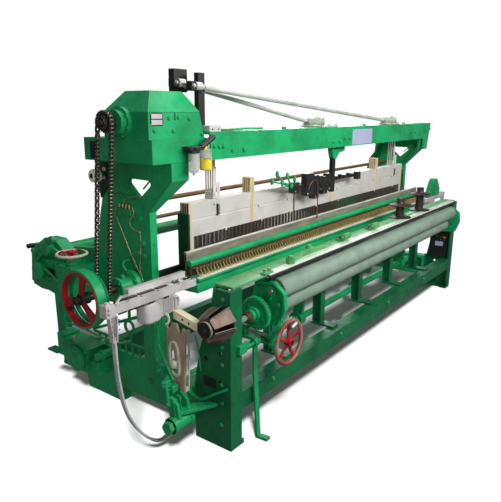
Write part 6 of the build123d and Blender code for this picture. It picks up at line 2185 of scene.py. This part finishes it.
@dataclass
class DriveSide:
    """Covers, bolts and pipes of the gear case and the let-off housing."""

    def build_gear_case(self) -> None:
        """Make the gear case's cover, bolts, lugs and shaft."""
        piece = Piece("gear_case_details")
        y, z = 1.112, 0.27
        piece.add(
            GREEN,
            turning(
                (0.08, 0.083, 0.083, 0.06, 0.056), (-0.13, -0.134, -0.142, -0.146, -0.15), (0.0, y, z), Along.X, 44
            ),
            heads(bolt_circle((-0.142, y, z), 0.071, np.radians(np.arange(6) * 60 + 15)), Along.X, 0.006, 0.006),
            heads([(-0.13, yy, zz) for yy in (1.02, 1.236) for zz in (0.208, 0.33)], Along.X, 0.009),
            rod((-0.134, 0.919, 0.326), (-0.126, 0.919, 0.326), 0.018),
            turning((0.03, 0.032, 0.032, 0.028), (-0.1, -0.096, -0.084, -0.08), (0.0, 0.919, 0.326), Along.X, 28),
            block((-0.134, 1.15, 0.35), (-0.09, 1.246, 0.366), 0.004),
        )
        piece.add(COPPER, rod((-0.1, 1.18, 0.362), (-0.1, 1.18, 0.386), 0.01, 14))
        piece.add(GREEN, heads([(-0.1, 1.4, 0.246)], Along.Z, 0.01, 0.008, 1.0))
        piece.make()

    def build_let_off(self) -> None:
        """Make the let-off's covers, ribs, bolts, pipes and the guard under the handwheel."""
        piece = Piece("let_off_details")
        piece.add(
            GREEN,
            turning(
                (0.056, 0.058, 0.058, 0.04, 0.03), (-0.134, -0.138, -0.144, -0.15, -0.156), (0.0, 1.44, 0.77),
                Along.X, 40,
            ),
            turning((0.044, 0.046, 0.04, 0.02), (-0.124, -0.128, -0.134, -0.138), (0.0, 1.362, 0.922), Along.X),
        )
        bolts = [(-0.108, y, z) for y in (1.232, 1.3, 1.37, 1.498) for z in (0.702, 0.838)]
        piece.add(
            GREEN, heads(bolts, Along.X, 0.009, 0.008),
            heads([(-0.084, y, z) for y, z in ((1.55, 0.68), (1.55, 0.85), (1.2, 0.68), (1.46, 0.9))], Along.X),
        )
        for z in (0.735, 0.805):
            piece.add(GREEN, block((-0.116, 1.24, z - 0.004), (-0.106, 1.38, z + 0.004)))
        # Painted highlight: the pale green of this rod stands for the bright highlight along it.
        piece.add(PALE_GREEN, rod((-0.122, 1.405, 0.796), (-0.122, 1.205, 0.714), 0.0065, 12))
        piece.add(
            GREEN,
            *(
                turning((0.016, 0.018, 0.018, 0.014), (-0.132, -0.129, -0.112, -0.106), (0.0, yy, zz), Along.X, 20)
                for yy, zz in ((1.405, 0.796), (1.205, 0.714), (1.285, 0.985), (1.494, 0.888))
            ),
        )
        rocker = rounded(((1.482, 0.872), (1.512, 0.9), (1.302, 1.01), (1.268, 0.994), (1.29, 0.966)), 0.01)
        piece.add(
            GREEN, prism(rocker, -0.12, -0.108, Along.X),
            prism(
                rounded(((1.492, 0.8), (1.52, 0.79), (1.412, 0.894), (1.388, 0.88)), 0.008), -0.128, -0.116, Along.X
            ),
        )
        # Painted highlight: the pale green of this rod stands for the bright highlight along it.
        piece.add(PALE_GREEN, rod((-0.114, 1.18, 0.902), (-0.114, 1.29, 0.935), 0.006, 12))
        piece.add(
            GREEN, block((-0.094, 1.53, 0.7), (-0.08, 1.56, 0.86), 0.003),
            block((-0.118, 1.268, 0.69), (-0.106, 1.282, 0.85)),
        )
        piece.add(
            SHADE_GREEN,
            prism(
                rounded(((1.3, 0.742), (1.372, 0.742), (1.372, 0.798), (1.3, 0.798)), 0.01), -0.1095, -0.107, Along.X,
                0.0005,
            ),
        )
        piece.add(
            GREEN, turning((0.03, 0.036, 0.036, 0.028), (0.7, 0.704, 0.716, 0.72), (-0.118, 1.1, 0.16), Along.Z, 28)
        )
        # Painted highlight: the pale green of this pipe stands for the bright highlight along it.
        piece.add(
            PALE_GREEN,
            pipe(
                [
                    (-0.06, 1.297, 0.429), (-0.07, 1.22, 0.446), (-0.07, 1.133, 0.45), (-0.07, 0.955, 0.431),
                    (-0.06, 0.786, 0.432), (0.0, 0.76, 0.43),
                ],
                0.006,
            ),
        )
        piece.add(GREEN, block((-0.178, 1.05, 0.712), (-0.17, 1.17, 0.848), 0.003))
        piece.add(BLACK, rod((-0.04, 1.7, 0.868), (0.0, 1.7, 0.868), 0.016))
        piece.make()

    def build(self) -> None:
        """Make the drive side's details."""
        self.build_gear_case()
        self.build_let_off()


@dataclass
class WeftSelector:
    """The weft selector under the beam: green arm, black bar, magnets, fingers and wires."""

    y: float = 0.396
    rail_z: float = 1.24

    def build(self) -> None:
        """Make the selector in place of its plain solid."""
        y, rail = self.y, self.rail_z
        piece = Piece("weft_selector_body", slot="black_plastic", stands_for=("weft_selector",))
        arm = ((1.7, 1.49), (1.7, 1.46), (1.726, 1.4), (1.772, 1.398), (1.81, 1.44), (1.9, 1.452), (1.9, 1.49))
        piece.add(
            GREEN, prism(rounded(arm, 0.008), y, y + 0.04, Along.Y),
            heads([(1.86, y, 1.472), (1.78, y, 1.472)], Along.Y, 0.009, 0.008),
        )
        piece.add(
            BLACK, block((1.722, y + 0.004, 1.15), (1.768, y + 0.036, 1.412), 0.004),
            block((1.18, y + 0.012, rail - 0.008), (2.18, y + 0.028, rail + 0.008), 0.003),
        )
        for x, width, drop, rise in (
            (1.34, 0.1, 0.075, 0.08), (1.45, 0.06, 0.11, 0.06), (1.52, 0.045, 0.06, 0.05),
            (1.575, 0.062, 0.088, 0.04), (1.65, 0.04, 0.07, 0.055), (1.178, 0.06, 0.04, 0.036),
        ):
            piece.add(
                BLACK_PLASTIC, block((x, y - 0.008, rail - drop), (x + width, y + 0.046, rail + rise), 0.004),
                turning(
                    (0.014, 0.016, 0.012), (-0.014, -0.008, -0.004), (x + width / 2, y - 0.004, rail - drop * 0.3),
                    Along.Y, 20,
                ),
            )
            piece.add(STEEL, heads([(x + 0.012, y - 0.008, rail - drop + 0.014)], Along.Y, 0.005, 0.004))
        piece.add(
            BLACK_PLASTIC, block((2.14, y - 0.002, rail - 0.034), (2.2, y + 0.038, rail + 0.028), 0.004),
            *(
                block((x, y + 0.004, rail + 0.004), (x + 0.022, y + 0.034, rail + 0.022 + 0.01 * (i % 2)), 0.003)
                for i, x in enumerate((1.8, 1.86, 1.93, 2.0, 2.06))
            ),
        )
        piece.make()
        fingers = Piece("selector_fingers")
        for i, (x, lift) in enumerate(
            ((0.9, 0.07), (0.96, 0.11), (1.02, 0.05), (1.08, 0.09), (1.13, 0.02), (1.17, 0.06))
        ):
            tip = (x, y - 0.01, rail + lift)
            root = (1.19 + 0.004 * i, y + 0.02, rail - 0.006)
            middle = ((x + root[0]) / 2, y + 0.004, rail + lift * 0.4 + 0.012 * ((-1) ** i))
            fingers.add(
                GREEN, pipe([tip, middle, root], 0.006, (0.0, 1.0, 0.0)),
                turning((0.004, 0.012, 0.012, 0.003), (-0.022, -0.01, 0.01, 0.024), tip, Along.Z, 10),
            )
        fingers.make()


@dataclass
class FeelerWires:
    """The two upright feeler wires under the selector."""

    y: float = 0.396
    rail_z: float = 1.24

    def build(self) -> None:
        """Make the straight wire and the arched one."""
        piece = Piece("feeler_wires", slot="bronze")
        y, rail = self.y, self.rail_z
        piece.add(BRONZE, rod((1.215, y + 0.02, 1.01), (1.215, y + 0.02, rail), 0.005, 12))
        arch = [
            (1.35, y - 0.014, rail - 0.03), (1.372, y - 0.014, rail + 0.006), (1.42, y - 0.014, rail + 0.03),
            (1.462, y - 0.014, rail + 0.01), (1.48, y - 0.014, rail - 0.06), (1.482, y - 0.014, 0.99),
        ]
        piece.add(BRONZE, pipe(arch, 0.0045, (0.0, 1.0, 0.0)))
        piece.make()


@dataclass
class RightEnd:
    """Control box buttons, a bare plate and white marks at the right stand."""

    def build(self) -> None:
        """Make the right end's details."""
        piece = Piece("control_box_details", slot="black_plastic")
        face = LOOM_WIDTH - 0.093
        piece.add(BARE_PLATE, block((face - 0.002, 0.07, 0.43), (face + 0.001, 0.15, 0.475), 0.0006))
        for y, finish in ((0.06, ORANGE), (0.095, BLACK_PLASTIC), (0.13, BLACK_PLASTIC)):
            piece.add(
                finish, turning((0.013, 0.014, 0.01), (0.0, -0.008, -0.014), (face - 0.012, y, 0.525), Along.X, 20)
            )
        piece.add(
            WHITE_STRIP,
            copies(
                turning((0.003, 0.003), (0.0, -0.002), HERE, Along.X, 10),
                [(face - 0.001, y, 0.495) for y in (0.06, 0.095, 0.13)],
            ),
        )
        piece.make()


def axes(right: Array, up: Array, back: Array) -> Matrix:
    """The turn that gives a camera or lamp these three axes."""
    return Matrix([list(row) for row in np.column_stack((right, up, back))]).to_4x4()


def aimed(back: Array) -> Matrix:
    """The level turn of a lamp that has this direction behind it.

    Args:
        back: the direction away from what it lights.

    Returns:
        The turn as a matrix.
    """
    back = back / np.linalg.norm(back)
    side = np.cross((0.0, 0.0, 1.0), back)
    side /= np.linalg.norm(side)
    return axes(side, np.cross(back, side), back)


@dataclass
class Studio:
    """Floor, soft lights and the camera of the photograph."""

    focal_pixels: float = 548.0
    frame_pixels: float = 502.0
    sensor: float = 36.0
    yaw: float = 53.14
    pitch: float = 14.4
    roll: float = 0.3
    eye: Point = (-1.975, -1.602, 1.75)
    floor_edge: float = 40.0
    sky_light: float = 0.17

    def camera(self) -> None:
        """Place the camera from its yaw, pitch and roll in the loom's coordinates."""
        yaw, pitch, roll = (math.radians(angle) for angle in (self.yaw, self.pitch, self.roll))
        ahead = np.array((math.sin(yaw) * math.cos(pitch), math.cos(yaw) * math.cos(pitch), -math.sin(pitch)))
        level = np.array((math.cos(yaw), -math.sin(yaw), 0.0))
        upright = np.cross(level, ahead)
        right = level * math.cos(roll) + upright * math.sin(roll)
        up = upright * math.cos(roll) - level * math.sin(roll)
        data = bpy.data.cameras.new("photo_camera")
        data.sensor_width, data.lens = self.sensor, self.sensor * self.focal_pixels / self.frame_pixels
        data.clip_start, data.clip_end = 0.05, 100.0
        thing = bpy.data.objects.new("photo_camera", data)
        bpy.context.scene.collection.objects.link(thing)
        thing.matrix_world = Matrix.Translation(np.array(self.eye) + ORIGIN) @ axes(right, up, -ahead)
        bpy.context.scene.camera = thing

    def floor(self) -> tuple[bpy.types.Collection, bpy.types.Collection]:
        """Make the pale floor, and give the groups that only its own sun and only the loom's lights use."""
        mesh = bpy.data.meshes.new("floor")
        edge = self.floor_edge
        mesh.from_pydata(
            [(-edge, -edge, 0.0), (edge, -edge, 0.0), (edge, edge, 0.0), (-edge, edge, 0.0)], [], [(0, 1, 2, 3)]
        )
        thing = bpy.data.objects.new("floor", mesh)
        g = Graph("pale_floor")
        colour = g.mix(g.noise(0.8), (0.86, 0.86, 0.86), (0.9, 0.9, 0.9))
        mesh.materials.append(
            g.finish(colour, g.ramp(g.noise(2.0), 0.0, 1.0, 0.8, 0.95), g.bump(g.noise(4.0), 0.0001))
        )
        bpy.context.scene.collection.objects.link(thing)
        thing.visible_diffuse = thing.visible_glossy = False
        lit, spared = bpy.data.collections.new("floor_lit"), bpy.data.collections.new("floor_spared")
        for group in (lit, spared):
            group.objects.link(thing)
        spared.collection_objects[0].light_linking.link_state = "EXCLUDE"
        return lit, spared

    def light(
        self, name: str, place: Point, target: Point, size: tuple[float, float], power: float,
        lit: bpy.types.Collection,
    ) -> None:
        """Add one oblong soft light that faces the target."""
        data = bpy.data.lights.new(name, "AREA")
        data.shape, data.energy = "RECTANGLE", power
        data.size, data.size_y = size
        start = np.array(place) + ORIGIN
        turn = aimed(np.array(place, float) - np.array(target))
        self.lamp(data, Matrix.Translation(start) @ turn, lit).visible_camera = False

    def lamp(self, data: bpy.types.Light, placed: Matrix, lit: bpy.types.Collection) -> bpy.types.Object:
        """Put a lamp in its place and let it light one group only.

        Args:
            data: what the lamp is.
            placed: its place and turn.
            lit: the group that it lights.

        Returns:
            The lamp in the scene.
        """
        thing = bpy.data.objects.new(data.name, data)
        thing.matrix_world = placed
        thing.light_linking.receiver_collection = lit
        bpy.context.scene.collection.objects.link(thing)
        return thing

    def sun(self, towards: Point, strength: float, spread: float, lit: bpy.types.Collection) -> None:
        """Add the floor's even light: direction to it, its strength, its soft width in degrees and what it lights."""
        data = bpy.data.lights.new("key", "SUN")
        data.energy, data.angle = strength, math.radians(spread)
        self.lamp(data, aimed(np.array(towards)), lit)

    def build(self) -> None:
        """Set up floor, lights, sky and camera."""
        self.camera()
        lit, spared = self.floor()
        self.sun((-0.5, -0.46, 0.73), 4.7, 8.0, lit)
        self.light("overhead", (1.2, -2.5, 2.75), (1.4, 0.3, 1.0), (4.8, 0.7), 165.0, spared)
        self.light("ceiling", (1.6, 0.7, 3.8), (1.6, 0.5, 0.0), (4.2, 1.6), 60.0, spared)
        self.light("window", (7.0, 3.4, 3.0), (1.6, 0.0, 0.9), (3.0, 3.0), 200.0, spared)
        self.light("fill", (-3.4, -1.6, 0.9), (0.0, 0.5, 0.5), (2.0, 2.0), 18.0, spared)
        world = bpy.data.worlds.new("studio")
        world.use_nodes = True
        tree = world.node_tree
        sky = tree.nodes["Background"]
        sky.inputs["Color"].default_value = (1.0, 1.0, 1.0, 1.0)
        seen = tree.nodes.new("ShaderNodeMapRange")
        seen.inputs["To Min"].default_value, seen.inputs["To Max"].default_value = self.sky_light, 1.0
        tree.links.new(tree.nodes.new("ShaderNodeLightPath").outputs["Is Camera Ray"], seen.inputs["Value"])
        tree.links.new(seen.outputs["Result"], sky.inputs["Strength"])
        bpy.context.scene.world = world
        bpy.context.scene.view_settings.view_transform = "Standard"


def main() -> None:
    """Dress the frame and build every sub-assembly."""
    logging.basicConfig(level=logging.INFO, format="%(message)s")
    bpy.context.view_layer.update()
    Studio().build()
    PAINTS.dress_frame()
    for assembly in (
        Chain(), Wheels(), HealdFrames(), Sley(), Table(), DobbyHead(), Beam(),
        SideFrames(), RapierSide(), TakeUp(), DriveSide(), WeftSelector(), RightEnd(), FeelerWires(),
    ):
        assembly.build()


if __name__ == "__main__":
    main()
